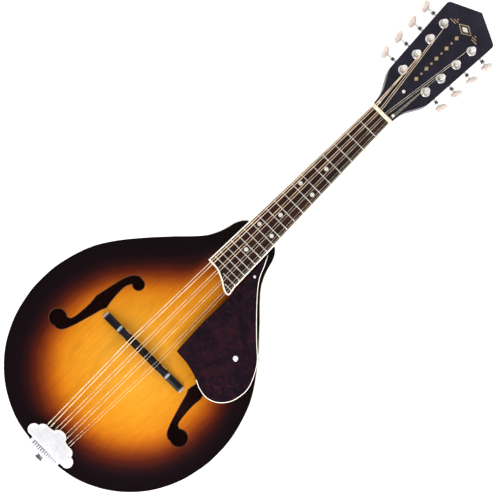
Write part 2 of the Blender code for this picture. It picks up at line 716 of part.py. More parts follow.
def tailpiece():
    """Bent base plate with its hooks, the cover that slides over it, and the strap button."""
    wide, high, thick = TAIL_PLATE_HALF, TAIL_PLATE_TOP, TAIL_PLATE
    inner = TAIL_BEND + thick - 0.1
    profile = [(TAIL_PLATE_HEAD, high), (-150.6, high), (-153.2, high - 0.8), (TAIL_BEND, high - 3.4),
               (TAIL_BEND, TAIL_FOOT), (inner, TAIL_FOOT), (inner, high - 3.8), (-152.2, high - 2.0),
               (-150.2, high - thick), (TAIL_PLATE_HEAD, high - thick)]
    rings = [[(x, y, z) for y, z in profile] for x in (-wide, wide)]
    base = place(loft("tailpiece_base", rings), "tailpiece_base", CHROME)
    hooks = [box("hook", (tail_x - 0.8, HOOK_PLACE - 2.2, high - 0.5), (tail_x + 0.8, HOOK_PLACE, high + 3.3))
             for _, tail_x, _, _, _ in STRINGS.values()]
    boolean(base, joined(hooks, "hooks"), "UNION")
    skirt = high + GAP
    cover = place(prism("tailpiece_cover", cloud(0), skirt, COVER_ROOF), "tailpiece_cover", CHROME)
    boolean(cover, prism("cover_inside", cloud(COVER_WALL), skirt - 2, COVER_ROOF - COVER_WALL))
    boolean(cover, box("cover_mouth", (-MOUTH_HALF, -131, skirt - 2), (MOUTH_HALF, -110, MOUTH_TOP)))
    axis = empty("strap_axis", TAIL_END, STRAP_LEVEL, math.radians(90), WORLD)
    turned("strap_button", [(STRAP_SHANK, 22), (STRAP_SHANK, 5.4), (4.4, 5.3), (4.2, 3.2), (6.5, 1.4),
                            (6.3, 0.5), (5.0, 0)], CHROME, axis)
    hole = cylinder("button_hole", STRAP_SHANK + GAP, 4, 22.5, sides=16)
    for name in ("tailpiece_base", "rim", "tail_block"):
        boolean(bpy.data.objects[name], hole, parent=axis)


# Tuners

def post_place(side, index):
    """Across and along place of a post on the head plane."""
    return (side * (POST_NEAR + index * POST_STEP * math.sin(POST_SPLAY)),
            POST_FIRST + index * POST_STEP * math.cos(POST_SPLAY), 0)


PLATE_TOP = -HEADSTOCK - GAP
GEAR_TOP = PLATE_TOP - TUNER_PLATE - GAP
SHAFT_LEVEL = GEAR_TOP - GEAR_THICK / 2


def tuners():
    gear = []
    for k in range(GEAR_TEETH):
        for share, radius in ((0.0, 4.1), (0.5, GEAR_RADIUS)):
            turn = 2 * math.pi * (k + share) / GEAR_TEETH
            gear.append((radius * math.cos(turn), radius * math.sin(turn)))
    post_profile = [(POST_RADIUS - 0.5, POST_TOP), (POST_RADIUS, POST_TOP - 0.6), (POST_RADIUS, 10.6),
                    (2.4, 10.0), (2.4, 7.4), (POST_RADIUS, 6.8), (POST_RADIUS, GEAR_TOP - 0.5),
                    (2.2, GEAR_TOP - 0.5), (2.2, GEAR_TOP - GEAR_THICK - 0.9)]
    shaft_profile = [(SHAFT_RADIUS, 20.8), (SHAFT_RADIUS, 4.6), (WORM_RADIUS, 4.1), (WORM_RADIUS, -4.1),
                     (SHAFT_RADIUS, -4.6), (SHAFT_RADIUS, -7.6)]
    shared_post = shared_shaft = shared_button = None
    for side, word in ((-1, "bass"), (1, "treble")):
        plane = empty(f"tuner_plane_{word}", 0, 0, 0, HEAD)
        x, y, _ = post_place(side, 0)
        plane.location = Vector((x, y, 0)) * MM
        plane.rotation_euler = (0, 0, -side * POST_SPLAY)
        tuner_plate(f"tuner_plate_{word}", plane)
        for index in range(4):
            string = [name for name, data in STRINGS.items() if data[4] == index and data[1] * side > 0][0]
            seat = empty(f"seat_{string}", index * POST_STEP, 0, 0, plane)
            post = turned(f"string_post_{string}", post_profile, NICKEL, seat, 10)
            if shared_post is None:
                boolean(post, prism("gear", gear, GEAR_TOP - GEAR_THICK, GEAR_TOP), "UNION")
                shared_post = solid(post).data
            post.modifiers.clear()
            post.data = shared_post
            key = empty(f"key_{string}", WORM_OFFSET, SHAFT_LEVEL, 0, seat)
            key.rotation_euler = (0, math.radians(90) * side, 0)
            shaft = turned(f"tuner_shaft_{string}", shaft_profile, NICKEL, key, 10)
            if shared_shaft is None:
                shared_shaft = solid(shaft).data
            shaft.modifiers.clear()
            shaft.data = shared_shaft
            if shared_button is None:
                shared_button = button_mesh()
            place(shared_button, f"tuner_button_{string}", PEARLOID, key)


def button_mesh():
    """An oval button: its width across the shaft is larger than its length along it."""
    rings = []
    sides = 12
    for height, share in ((-4.6, 0.5), (-3.0, 0.85), (0.0, 1.0), (3.0, 0.85), (4.6, 0.45)):
        ring_points = []
        for k in range(sides):
            turn = 2 * math.pi * k / sides
            ring_points.append((3.4 * share ** 0.6 * math.cos(turn), 7.2 * share * math.sin(turn),
                                BUTTON_PLACE + height))
        rings.append(ring_points)
    mesh = loft("tuner_button", rings)
    mesh.materials.append(PEARLOID)
    return mesh


def tuner_plate(name, plane):
    """A strip under the headstock whose lugs carry the four worm shafts."""
    span = 3 * POST_STEP
    low, high = PLATE_TOP - TUNER_PLATE, PLATE_TOP
    outline = (arc((0, -6), 7.6, 180, 360, 8) + arc((0, span + 11), 7.6, 0, 180, 8))
    strip = place(prism(name, outline, low, high), name, NICKEL, plane)
    lugs = []
    for index in range(4):
        middle = index * POST_STEP + WORM_OFFSET
        for near, far in ((LUG_NEAR, LUG_FAR), (-LUG_FAR, -LUG_NEAR)):
            lugs.append(box("lug", (near, middle - 2.6, SHAFT_LEVEL - 2.8), (far, middle + 2.6, low + 0.4)))
    boolean(strip, joined(lugs, "lugs"), "UNION")
    holes = [cylinder("plate_hole", POST_RADIUS + 2 * GAP, low - 2, high + 2, (0, index * POST_STEP), 10)
             for index in range(4)]
    boolean(strip, joined(holes, "plate_holes"))
    for index in range(4):
        axis = empty(f"{name}_axis_{index}", index * POST_STEP + WORM_OFFSET, SHAFT_LEVEL, 0, plane)
        axis.rotation_euler = (0, math.radians(90), 0)
        boolean(strip, cylinder("lug_bore", SHAFT_RADIUS + 1.5 * GAP, -8, 8, sides=8), parent=axis)


# Strings

WINDING_LEVEL = 8.7            # height of the windings on the posts above the head's face


def strings():
    bpy.context.view_layer.update()
    to_world = WORLD.matrix_world.inverted()
    from_neck = to_world @ NECK.matrix_world
    from_head = to_world @ HEAD.matrix_world
    for name, (radius, tail_x, saddle_x, nut_x, index) in STRINGS.items():
        side = 1 if tail_x > 0 else -1
        post_x, post_y, _ = post_place(side, index)
        stop_x = post_x - side * (2.4 + GAP + radius)
        saddle = from_neck @ (Vector((saddle_x, 0, STRING_AT_SADDLE + radius)) * MM)
        nut = from_neck @ (Vector((nut_x, SCALE_LENGTH + 1.4, STRING_AT_NUT + radius)) * MM)
        nut_end = from_neck @ (Vector((nut_x, HEAD_START - 0.4, STRING_AT_NUT + radius)) * MM)
        post = from_head @ (Vector((stop_x, post_y, WINDING_LEVEL)) * MM)
        hook = Vector((tail_x, HOOK_PLACE + GAP + radius, HOOK_HEIGHT)) * MM
        curve = bpy.data.curves.new(f"string_{name}", "CURVE")
        curve.dimensions = "3D"
        curve.bevel_depth = radius * MM
        curve.bevel_resolution = 2
        curve.use_fill_caps = True
        spline = curve.splines.new("POLY")
        route = [hook, saddle, nut, nut_end, post]
        spline.points.add(len(route) - 1)
        for point, place_of in zip(spline.points, route):
            point.co = (*place_of, 1)
        curve.materials.append(BRONZE_STRING if name[0] in "GD" else PLAIN_STRING)
        obj = bpy.data.objects.new(f"string_{name}", curve)
        obj.parent = WORLD
        PARTS.objects.link(obj)


body()
neck()
fingerboard()
pickguard()
bridge()
tailpiece()
tuners()
strings()
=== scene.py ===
"""The looks of the arch-top mandolin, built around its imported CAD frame.

Lengths are in millimetres in the CAD's own directions: x across to the treble side, "along" from the
bridge line towards the head, z up from the floor. They become metres as each mesh is made.
"""
import math

import bmesh
import bpy
from mathutils import Matrix, Vector


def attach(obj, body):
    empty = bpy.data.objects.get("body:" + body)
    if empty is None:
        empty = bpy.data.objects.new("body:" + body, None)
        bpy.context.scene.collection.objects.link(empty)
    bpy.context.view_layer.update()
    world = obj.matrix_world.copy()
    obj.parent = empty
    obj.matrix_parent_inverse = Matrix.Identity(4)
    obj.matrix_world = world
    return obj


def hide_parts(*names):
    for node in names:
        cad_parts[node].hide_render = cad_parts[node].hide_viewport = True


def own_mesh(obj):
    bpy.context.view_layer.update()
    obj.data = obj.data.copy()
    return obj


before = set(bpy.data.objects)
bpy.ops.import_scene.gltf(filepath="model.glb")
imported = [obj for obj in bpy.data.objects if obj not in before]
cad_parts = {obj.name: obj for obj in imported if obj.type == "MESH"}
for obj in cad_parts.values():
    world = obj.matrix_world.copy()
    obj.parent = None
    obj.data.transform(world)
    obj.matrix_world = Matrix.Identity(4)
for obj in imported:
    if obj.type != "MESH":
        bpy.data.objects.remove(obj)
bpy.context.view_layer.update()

MM = 0.001
TAU = 2 * math.pi
SIDES = ((-1, "bass"), (1, "treble"))


# Planes of the instrument

def move(x=0, y=0, z=0):
    return Matrix.Translation((x, y, z))


def spin(degrees, axis):
    return Matrix.Rotation(math.radians(degrees), 4, axis)


BRIDGE_LINE = -174.0           # the bridge line in the frame's Y
SCALE_LENGTH = 355.6
NECK_PITCH = 3.5               # degrees
HEAD_PITCH = 14.08             # degrees, from the neck
PLANE_HEIGHT = 86.5            # of the fingerboard's face at the bridge line
HEAD_START = SCALE_LENGTH + 4.4
HEAD_DROP = 3.5                # of the headstock's face under the fingerboard's
NECK_SLOPE = math.tan(math.radians(NECK_PITCH))
NECK_COS = math.cos(math.radians(NECK_PITCH))
WORLD = move(0, BRIDGE_LINE, 0)
NECK = WORLD @ move(z=PLANE_HEIGHT) @ spin(-NECK_PITCH, "X")
HEAD = NECK @ move(0, HEAD_START, -HEAD_DROP) @ spin(-HEAD_PITCH, "X")


# Mesh tools

def linked(data, name):
    obj = bpy.data.objects.new(name, data)
    bpy.context.scene.collection.objects.link(obj)
    return obj


def as_mesh(bm, name):
    """The bmesh's shape as a mesh. It frees the bmesh."""
    mesh = bpy.data.meshes.new(name)
    bm.to_mesh(mesh)
    bm.free()
    return mesh


def shade(mesh, sharp):
    """Smooth shading that leaves the edges over this many degrees sharp."""
    mesh.shade_smooth()
    mesh.set_sharp_from_angle(angle=math.radians(sharp))


def make(name, bm, plane, finishes, node=None, body="body", sharp=40):
    """A piece from a bmesh in millimetres in a plane. It rides on the body; sharp=0 leaves it flat."""
    bmesh.ops.transform(bm, matrix=Matrix.Scale(MM, 4) @ plane, verts=bm.verts)
    mesh = as_mesh(bm, name)
    finishes = finishes if isinstance(finishes, list) else [finishes]
    for material in finishes:
        mesh.materials.append(material)
    if sharp:
        shade(mesh, sharp)
    obj = linked(mesh, name)
    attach(obj, body)
    if node:
        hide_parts(node)
    return obj


def loft(rings, endless=False, bm=None, slots=None):
    """Skin closed rings of equal length. slots gives each band its material index."""
    bm = bm or bmesh.new()
    rows = [[bm.verts.new(point) for point in ring] for ring in rings]
    faces = []
    for band in range(len(rows) if endless else len(rows) - 1):
        low, high = rows[band], rows[(band + 1) % len(rows)]
        for i, j in zip(range(len(low)), [*range(1, len(low)), 0]):
            faces.append(bm.faces.new((low[i], low[j], high[j], high[i])))
            faces[-1].material_index = slots[band] if slots else 0
    for end in () if endless else (0, -1):
        faces.append(bm.faces.new(rows[end]))
        faces[-1].material_index = slots[end] if slots else 0
    bmesh.ops.recalc_face_normals(bm, faces=faces)
    return bm


def polar(radius, share):
    """X and Y at this radius after this share of a turn."""
    return Vector((radius * math.cos(TAU * share), radius * math.sin(TAU * share)))


def turned(profile, sides=32, bm=None, matrix=Matrix(), relief=None, endless=False):
    """A solid of revolution about Z from (radius, height) points.

    A point's third number is how much of relief(k, radius, height) is added to the radius of side k.
    """
    rings = []
    for radius, height, *share in profile:
        radii = [radius + (share[0] * relief(k, radius, height) if share else 0.0) for k in range(sides)]
        rings.append([matrix @ Vector((*polar(r, k / sides), height)) for k, r in enumerate(radii)])
    return loft(rings, endless, bm)


def box(low, high, bevel=0.0, bm=None):
    """A box between two corners, with rounded edges."""
    bm = bm or bmesh.new()
    low, high = Vector(low), Vector(high)
    verts = bmesh.ops.create_cube(bm, size=1.0)["verts"]
    bmesh.ops.scale(bm, vec=high - low, verts=verts)
    bmesh.ops.translate(bm, vec=(low + high) / 2, verts=verts)
    if bevel:
        edges = list({edge for vert in verts for edge in vert.link_edges})
        bmesh.ops.bevel(bm, geom=edges, offset=bevel, segments=2, affect="EDGES", profile=0.5)
    return bm


def tube(points, radius, sides=12, bm=None):
    """A round wire through the points, whose frame turns as little as it can."""
    points = [Vector(point) for point in points]
    normal = (points[1] - points[0]).orthogonal()
    circle = [polar(radius, k / sides) for k in range(sides)]
    rings = []
    for i, point in enumerate(points):
        ahead = (points[min(i + 1, len(points) - 1)] - points[max(i - 1, 0)]).normalized()
        normal = (normal - ahead * normal.dot(ahead)).normalized()
        other = ahead.cross(normal)
        rings.append([point + normal * p.x + other * p.y for p in circle])
    return loft(rings, bm=bm)


def smooth(points, steps):
    """A Catmull-Rom curve through the points, from the first to the last."""
    guides = [Vector(point) for point in points]
    guides = [2 * guides[0] - guides[1]] + guides + [2 * guides[-1] - guides[-2]]
    curve = []
    for a, b, c, d in zip(guides, guides[1:], guides[2:], guides[3:]):
        for t in (step / steps for step in range(steps)):
            curve.append(0.5 * (2 * b + (c - a) * t + (2 * a - 5 * b + 4 * c - d) * t ** 2
                                + (3 * b - a - 3 * c + d) * t ** 3))
    return curve + [guides[-2]]


def resample(points, count):
    """The same line with count points at equal distances."""
    lengths = [0.0]
    for a, b in zip(points, points[1:]):
        lengths.append(lengths[-1] + (b - a).length)
    line = []
    i = 0
    for k in range(count):
        goal = lengths[-1] * k / (count - 1)
        while i < len(points) - 2 and lengths[i + 1] < goal:
            i += 1
        share = (goal - lengths[i]) / max(1e-9, lengths[i + 1] - lengths[i])
        line.append(points[i].lerp(points[i + 1], share))
    return line


def inset(outline, distance, closed=True):
    """Move each point of a counterclockwise outline inwards."""
    points = [Vector(point) for point in outline]
    if closed:
        points = [points[-1]] + points + [points[0]]
    else:
        points = [2 * points[0] - points[1]] + points + [2 * points[-1] - points[-2]]
    moved = []
    for before, point, after in zip(points, points[1:], points[2:]):
        arriving = (point - before).normalized()
        run = (arriving + (after - point).normalized()).normalized()
        miter = distance / max(0.5, run.dot(arriving))
        moved.append(Vector((point.x - run.y * miter, point.y + run.x * miter)))
    return moved


def arc(centre, radius, start, end, steps):
    """Points of a circular arc; the angles are in degrees."""
    shares = [(start + (end - start) * k / steps) / 360 for k in range(steps + 1)]
    return [Vector(centre) + polar(radius, share) for share in shares]


def at(outline, height):
    return [(p[0], p[1], height) for p in outline]


def cross(a, b):
    return a.x * b.y - a.y * b.x


def counterclockwise(outline):
    points = [Vector(p) for p in outline]
    area = sum(cross(a, b) for a, b in zip(points, points[1:] + points[:1]))
    return points if area > 0 else points[::-1]


def thinned(outline, least=0.05):
    """The outline without points that lie on their neighbours."""
    kept = []
    for point in outline:
        if not kept or (Vector(point) - kept[-1]).length > least:
            kept.append(Vector(point))
    return kept if (kept[0] - kept[-1]).length > least else kept[:-1]


def slab(outline, low, high, edge=0.0, steps=3, under=0.0, bm=None):
    """A flat piece. Its upper edges are rounded by edge millimetres and its lower ones by under."""
    rings = []
    for size, level, way in ((under, low, 1), (edge, high, -1)):
        turns = [math.pi / 2 * k / steps for k in range(steps + 1)] if size else [0.0]
        rings += [at(inset(outline, size * (1 - math.sin(t))), level + way * size * (1 - math.cos(t)))
                  for t in turns[::way]]
    return loft(rings, bm=bm)


def stamp(bm, source, matrix):
    """Add a copy of the source bmesh, moved by the matrix."""
    copied = source.copy()
    bmesh.ops.transform(copied, matrix=matrix, verts=copied.verts)
    mesh = as_mesh(copied, "stamp")
    bm.from_mesh(mesh)
    bpy.data.meshes.remove(mesh)
    return bm


def carve(obj, cutters, plane=WORLD, sharp=0, operation="DIFFERENCE"):
    """Cut the piece with each bmesh, or join it, and keep the result as its mesh."""
    for cutter in cutters:
        bmesh.ops.transform(cutter, matrix=Matrix.Scale(MM, 4) @ plane, verts=cutter.verts)
        tool = linked(as_mesh(cutter, "cutter"), "cutter")
        for material in obj.data.materials:
            tool.data.materials.append(material)
        modifier = obj.modifiers.new("carve", "BOOLEAN")
        modifier.operation = operation
        modifier.object = tool
        modifier.solver = "EXACT"
        bpy.context.view_layer.update()
        evaluated = obj.evaluated_get(bpy.context.evaluated_depsgraph_get())
        mesh = bpy.data.meshes.new_from_object(evaluated)
        mesh.name = obj.name
        obj.modifiers.clear()
        obj.data = mesh
        bpy.data.objects.remove(tool)
    if sharp:
        shade(obj.data, sharp)


# Materials

def srgb(red, green, blue):
    """Linear colour of an 8-bit display colour."""
    return tuple(((c / 255) / 12.92 if c <= 10 else ((c / 255 + 0.055) / 1.055) ** 2.4)
                 for c in (red, green, blue)) + (1.0,)


class Finish:
    """A Principled material and short ways to add nodes to it."""

    def __init__(self, name, **sockets):
        self.material = bpy.data.materials.new(name)
        self.material.use_nodes = True
        self.tree = self.material.node_tree
        self.shader = self.tree.nodes["Principled BSDF"]
        for socket, value in sockets.items():
            self.shader.inputs[socket.replace("_", " ")].default_value = value

    def node(self, kind, inputs, **settings):
        """A node. Each input is joined to a socket, or set to a number, a list or a display colour."""
        made = self.tree.nodes.new(f"ShaderNode{kind}")
        for setting, value in settings.items():
            setattr(made, setting, value)
        for socket, value in inputs.items():
            if isinstance(value, bpy.types.NodeSocket):
                self.tree.links.new(value, made.inputs[socket])
            else:
                made.inputs[socket].default_value = srgb(*value) if isinstance(value, tuple) else value
        return made

    def coordinates(self, scale):
        """Object coordinates in millimetres, stretched by one scale or by three."""
        scales = scale if isinstance(scale, tuple) else (scale,) * 3
        source = self.node("TexCoord", {}).outputs["Object"]
        return self.node("Mapping", {"Vector": source, "Scale": [1000 * s for s in scales]}).outputs[0]

    def noise(self, scale, detail=4.0, roughness=0.55, distortion=0.0):
        return self.node("TexNoise", {"Vector": self.coordinates(scale), "Scale": 1.0, "Detail": detail,
                                      "Roughness": roughness, "Distortion": distortion}).outputs["Fac"]

    def painted(self):
        """The value that paint() stored on the piece."""
        return self.node("Attribute", {}, attribute_name="ring").outputs["Fac"]

    def ramp(self, factor, stops):
        """A colour ramp of (place, display colour) or (place, grey) stops."""
        made = self.node("ValToRGB", {"Fac": factor})
        elements = made.color_ramp.elements
        while len(elements) < len(stops):
            elements.new(0.5)
        for element, (place, color) in zip(elements, stops):
            element.position = place
            element.color = srgb(*color) if isinstance(color, tuple) else (color, color, color, 1)
        return made.outputs["Color"]

    def mix(self, factor, a, b, kind="MIX"):
        return self.node("Mix", {0: factor, 6: a, 7: b}, data_type="RGBA", blend_type=kind).outputs[2]

    def times(self, a, b):
        return self.mix(1.0, a, b, "MULTIPLY")

    def math(self, operation, a, b):
        return self.node("Math", {0: a, 1: b}, operation=operation).outputs[0]

    def color(self, socket):
        self.tree.links.new(socket, self.shader.inputs["Base Color"])

    def rough(self, factor, low, high):
        """Roughness between two values by a factor."""
        made = self.node("MapRange", {"Value": factor, "To Min": low, "To Max": high})
        self.tree.links.new(made.outputs[0], self.shader.inputs["Roughness"])
        return self.material

    def bump(self, height, distance, strength):
        """Relief of this many millimetres."""
        made = self.node("Bump", {"Height": height, "Distance": distance * MM, "Strength": strength})
        self.tree.links.new(made.outputs[0], self.shader.inputs["Normal"])
        return self.material


def darkened(color, share):
    return tuple(int(c * share) for c in color)


def burst_spruce():
    """Amber spruce that darkens to the edge, by the value painted on the plate, which also carries painted
    shade towards the bass side and the neck.
    """
    finish = Finish("sunburst_spruce", Coat_Weight=0.11, Coat_Roughness=0.05, Specular_IOR_Level=0.02)
    wander = finish.math("SUBTRACT", finish.noise(0.02, 2.0), 0.5)
    burst = finish.math("ADD", finish.painted(), finish.math("MULTIPLY", wander, 0.05))
    stain = finish.ramp(burst, [(0.0, (217, 149, 44)), (0.3, (212, 142, 36)), (0.45, (206, 133, 26)),
                                (0.58, (196, 119, 17)), (0.645, (181, 98, 10)), (0.70, (150, 70, 7)),
                                (0.75, (110, 42, 6)), (0.80, (70, 19, 6)), (0.85, (36, 7, 7)),
                                (0.90, (15, 2, 6)), (1.0, (7, 1, 4))])
    grain = finish.noise((1.1, 0.012, 0.2), 3.0, 0.6)
    silk = finish.noise((0.25, 0.05, 0.2), 5.0)
    lines = finish.ramp(grain, [(0.3, 0.72), (0.48, 1.0), (0.62, 1.0), (0.8, 0.84)])
    grained = finish.mix(0.55, stain, finish.times(stain, lines))
    finish.color(finish.times(grained, finish.ramp(silk, [(0.3, 0.9), (0.7, 1.06)])))
    finish.rough(silk, 0.3, 0.42)
    return finish.bump(grain, 0.02, 0.25)


def burst_hardwood(name, stops):
    """Mahogany with darkened edges, by the value painted on it, and with fine pores along the grain."""
    finish = Finish(name, Coat_Weight=0.2, Coat_Roughness=0.06, Specular_IOR_Level=0.03)
    ribbon = finish.noise((0.14, 0.008, 0.14), 3.0, distortion=0.6)
    pores = finish.noise((2.2, 0.11, 2.2), 3.0, 0.7)
    figure = finish.ramp(ribbon, [(0.3, 0.65), (0.7, 1.175)])
    wood = finish.times(finish.ramp(finish.painted(), stops), figure)
    finish.color(finish.mix(0.8, wood, finish.times(wood, finish.ramp(pores, [(0.36, 0.55), (0.46, 1.0)]))))
    finish.rough(pores, 0.4, 0.28)
    return finish.bump(pores, 0.03, 0.3)


def raw_wood(name, dark, light):
    """Unvarnished wood, for cut edges and the inside."""
    finish = Finish(name, Roughness=0.7)
    grain = finish.noise((0.9, 0.03, 0.9))
    finish.color(finish.ramp(grain, [(0.3, dark), (0.7, light)]))
    return finish.bump(grain, 0.05, 0.4)


def aged_plastic(name, light, dark, scale, rough):
    """Celluloid that has yellowed unevenly."""
    finish = Finish(name, Coat_Weight=0.3, Coat_Roughness=0.1, IOR=1.5)
    specks = finish.noise(1.5, 2.0)
    finish.color(finish.mix(0.25, finish.ramp(finish.noise(scale), [(0.32, dark), (0.62, light)]),
                            finish.ramp(specks, [(0.35, dark), (0.6, light)])))
    finish.rough(specks, rough - 0.08, rough + 0.08)
    return finish.bump(specks, 0.01, 0.2)


def black_lacquer(name, color, lift):
    """Near-black gloss lacquer with faint polishing haze."""
    finish = Finish(name, Coat_Weight=0.18, Coat_Roughness=0.05, Specular_IOR_Level=0.08)
    haze = finish.noise(0.05, 3.0)
    fine = finish.noise((1.2, 0.05, 1.2), 3.0)
    finish.color(finish.mix(0.3, finish.ramp(haze, [(0.3, color), (0.8, lift)]),
                            finish.ramp(fine, [(0.35, color), (0.75, lift)])))
    finish.rough(haze, 0.16, 0.3)
    return finish.bump(fine, 0.008, 0.15)


def rosewood():
    finish = Finish("rosewood", Coat_Weight=0.04, Coat_Roughness=0.3, Specular_IOR_Level=0.12)
    bands = finish.noise((0.35, 0.012, 0.35), distortion=0.4)
    pores = finish.noise((3.0, 0.09, 3.0), 3.0, 0.75)
    tone = finish.ramp(bands, [(0.28, (21, 9, 8)), (0.5, (38, 16, 12)), (0.72, (60, 28, 19))])
    finish.color(finish.times(tone, finish.ramp(pores, [(0.36, 0.35), (0.47, 1.0)])))
    finish.rough(pores, 0.62, 0.42)
    return finish.bump(pores, 0.06, 0.5)


def ebonised_with_highlights():
    """Black-stained wood, with a pale painted highlight where the value painted on it is high."""
    finish = Finish("ebonised_wood", Coat_Weight=0.14, Coat_Roughness=0.1, Specular_IOR_Level=0.05)
    grain = finish.noise((0.05, 1.2, 1.2), roughness=0.65)
    stain = finish.ramp(grain, [(0.3, (4, 3, 6)), (0.7, (20, 18, 24))])
    # The painted value mixes a pale grey into the stain as a painted highlight.
    finish.color(finish.mix(finish.painted(), stain, (206, 208, 216)))
    finish.rough(grain, 0.24, 0.4)
    return finish.bump(grain, 0.02, 0.3)


def tortoise():
    """Dark celluloid with red-brown clouds and flecks."""
    finish = Finish("tortoise", Coat_Weight=0.11, Coat_Roughness=0.05, Specular_IOR_Level=0.05)
    clouds = finish.noise(0.045, 5.0, 0.6, 1.6)
    flecks = finish.ramp(finish.noise(0.16, 3.0, 0.6, 2.4), [(0.56, 0.0), (0.70, 0.7)])
    base = finish.ramp(clouds, [(0.34, (9, 2, 10)), (0.5, (18, 5, 17)), (0.66, (34, 10, 20))])
    finish.color(finish.mix(flecks, base, (64, 20, 22)))
    return finish.rough(clouds, 0.14, 0.24)


def plated(name, color, rough, smudge=0.12, metallic=1.0):
    """Polished plating with faint smudges and scratches."""
    finish = Finish(name, Metallic=metallic)
    haze = finish.noise(0.09)
    finish.color(finish.ramp(haze, [(0.3, darkened(color, 1.0 - 1.5 * smudge)), (0.65, color)]))
    finish.rough(haze, rough, rough + smudge)
    return finish.bump(finish.noise((0.15, 2.4, 2.4), 2.0), 0.004, 0.2)


def pearloid():
    """Aged pearl-like celluloid: cream with swirled pink-brown clouds."""
    finish = Finish("pearloid", Coat_Weight=0.6, Coat_Roughness=0.08, Subsurface_Weight=0.15,
                    Subsurface_Radius=(0.004, 0.002, 0.001))
    swirl = finish.noise(0.16, 5.0, distortion=3.0)
    finish.color(finish.ramp(swirl, [(0.3, (188, 150, 132)), (0.42, (222, 200, 190)), (0.55, (238, 228, 220)),
                                     (0.68, (216, 190, 180)), (0.8, (246, 240, 232))]))
    return finish.rough(swirl, 0.18, 0.32)


def mother_of_pearl():
    finish = Finish("mother_of_pearl", Roughness=0.25, Coat_Weight=0.2, Coat_Roughness=0.05)
    swirl = finish.noise(0.35, distortion=2.0)
    finish.color(finish.ramp(swirl, [(0.3, (186, 184, 168)), (0.45, (214, 208, 190)), (0.6, (192, 194, 196)),
                                     (0.75, (222, 214, 200))]))
    return finish.material


def wire(name, color, pitch, rough, relief):
    """String wire with the relief of its winding, or of its drawing if it is plain."""
    finish = Finish(name, Metallic=0.35)
    turns = finish.node("TexWave", {"Vector": finish.coordinates((0, 1.0 / pitch, 0)), "Scale": 0.16},
                        wave_type="BANDS", bands_direction="Y").outputs["Fac"]
    dull = finish.noise((0.3, 0.05, 0.3), 3.0)
    tone = finish.ramp(dull, [(0.3, darkened(color, 0.7)), (0.6, color)])
    # The colour is darkened a little in the grooves between turns: painted shade.
    finish.color(finish.mix(0.2, tone, finish.times(tone, turns)))
    finish.rough(dull, rough, rough + 0.12)
    return finish.bump(turns, relief, 0.6)


SPRUCE = burst_spruce()
BACK_WOOD = burst_hardwood("burst_mahogany", [
    (0.0, (124, 54, 28)), (0.45, (112, 44, 22)), (0.66, (84, 28, 14)), (0.8, (48, 15, 10)),
    (0.9, (24, 8, 8)), (1.0, (14, 5, 6))])
NECK_WOOD = burst_hardwood("neck_mahogany", [(0.0, (92, 36, 20)), (0.5, (70, 26, 16)), (1.0, (20, 8, 8))])
RAW = raw_wood("cut_edge", (66, 32, 16), (104, 56, 28))
# The inside is coloured darker than the cut edges: painted shade for the dark inside of the body.
SHADED_INSIDE = raw_wood("inner_wood", (60, 16, 10), (92, 32, 18))
# Real cream binding, also used on the pickguard's outer bevel as a painted highlight.
CREAM_AND_HIGHLIGHT = aged_plastic("cream_binding", (254, 251, 242), (246, 236, 212), 0.12, 0.3)
BONE = aged_plastic("bone", (248, 243, 226), (232, 220, 190), 0.4, 0.35)
LACQUER = black_lacquer("head_lacquer", (15, 13, 24), (38, 35, 52))
COVER_BLACK = black_lacquer("cover_black", (16, 15, 22), (34, 32, 44))
ROSEWOOD = rosewood()
EBONISED_HIGHLIGHTED = ebonised_with_highlights()
TORTOISE = tortoise()
CHROME = plated("chrome_plate", (254, 254, 255), 0.2, 0.06, 0.8)
NICKEL = plated("nickel_plate", (250, 247, 243), 0.14, 0.12, 0.85)
BRASS = plated("brass", (206, 168, 98), 0.24, 0.14)
GUNMETAL = plated("dark_collar", (104, 102, 108), 0.25, 0.1)
STEEL = plated("rod_steel", (160, 158, 168), 0.3, 0.1)
GOLD = plated("gold_inlay", (190, 164, 124), 0.3)
FRET_METAL = plated("fret_metal", (214, 210, 200), 0.2)
PEARLOID = pearloid()
PEARL = mother_of_pearl()
WOUND = wire("wound_string", (255, 228, 194), 0.25, 0.28, 0.05)
PLAIN = wire("plain_string", (255, 243, 214), 0.05, 0.2, 0.005)


# Body

PLATE = 4.0                    # thickness of the two carved plates
BACK_EDGE, BACK_ARCH = 14.0, -14.0
TOP_EDGE, TOP_ARCH = 58.0, 15.0
BINDING = 1.5                  # width of the body's and the fingerboard's binding
ARCH_CENTRE = -10.0
RECURVE = 0.93                 # share of the way out at which the arch has come down
CONTOUR_RADIUS = 125.0         # of the circle that the contour lines turn into
BODY_HALF = [(0, -152), (33, -149.6), (59.5, -141.3), (86, -125), (108.9, -100.8), (124.2, -72),
             (131.5, -44), (133.2, -22), (131, 4.3), (121.4, 36.7), (107.6, 60.9), (88.4, 85),
             (66.5, 109.1), (51, 125), (41, 136.6), (34.7, 148.4), (31.5, 158), (29.8, 165),
             (25.8, 173), (20.7, 178)]
BODY_TURNS = [(-x, y) for x, y in BODY_HALF[:0:-1]] + BODY_HALF
BODY = resample(smooth(BODY_TURNS, 8), 221) + [Vector((x, 178)) for x in (14, 7, 0, -7, -14)]
DIRECTIONS = 720


def edge_radius(direction):
    """Distance from the arch's centre to the plate's edge in a direction."""
    ray = polar(1.0, direction / DIRECTIONS)
    best = 0.0
    for a, b in zip(BODY, BODY[1:] + BODY[:1]):
        start = Vector((a.x, a.y - ARCH_CENTRE))
        side = b - a
        bottom = cross(ray, side)
        if abs(bottom) > 1e-9 and -1e-9 <= cross(start, ray) / bottom <= 1 + 1e-9:
            best = max(best, cross(start, side) / bottom)
    return best


EDGE_RADII = [edge_radius(direction) for direction in range(DIRECTIONS)]


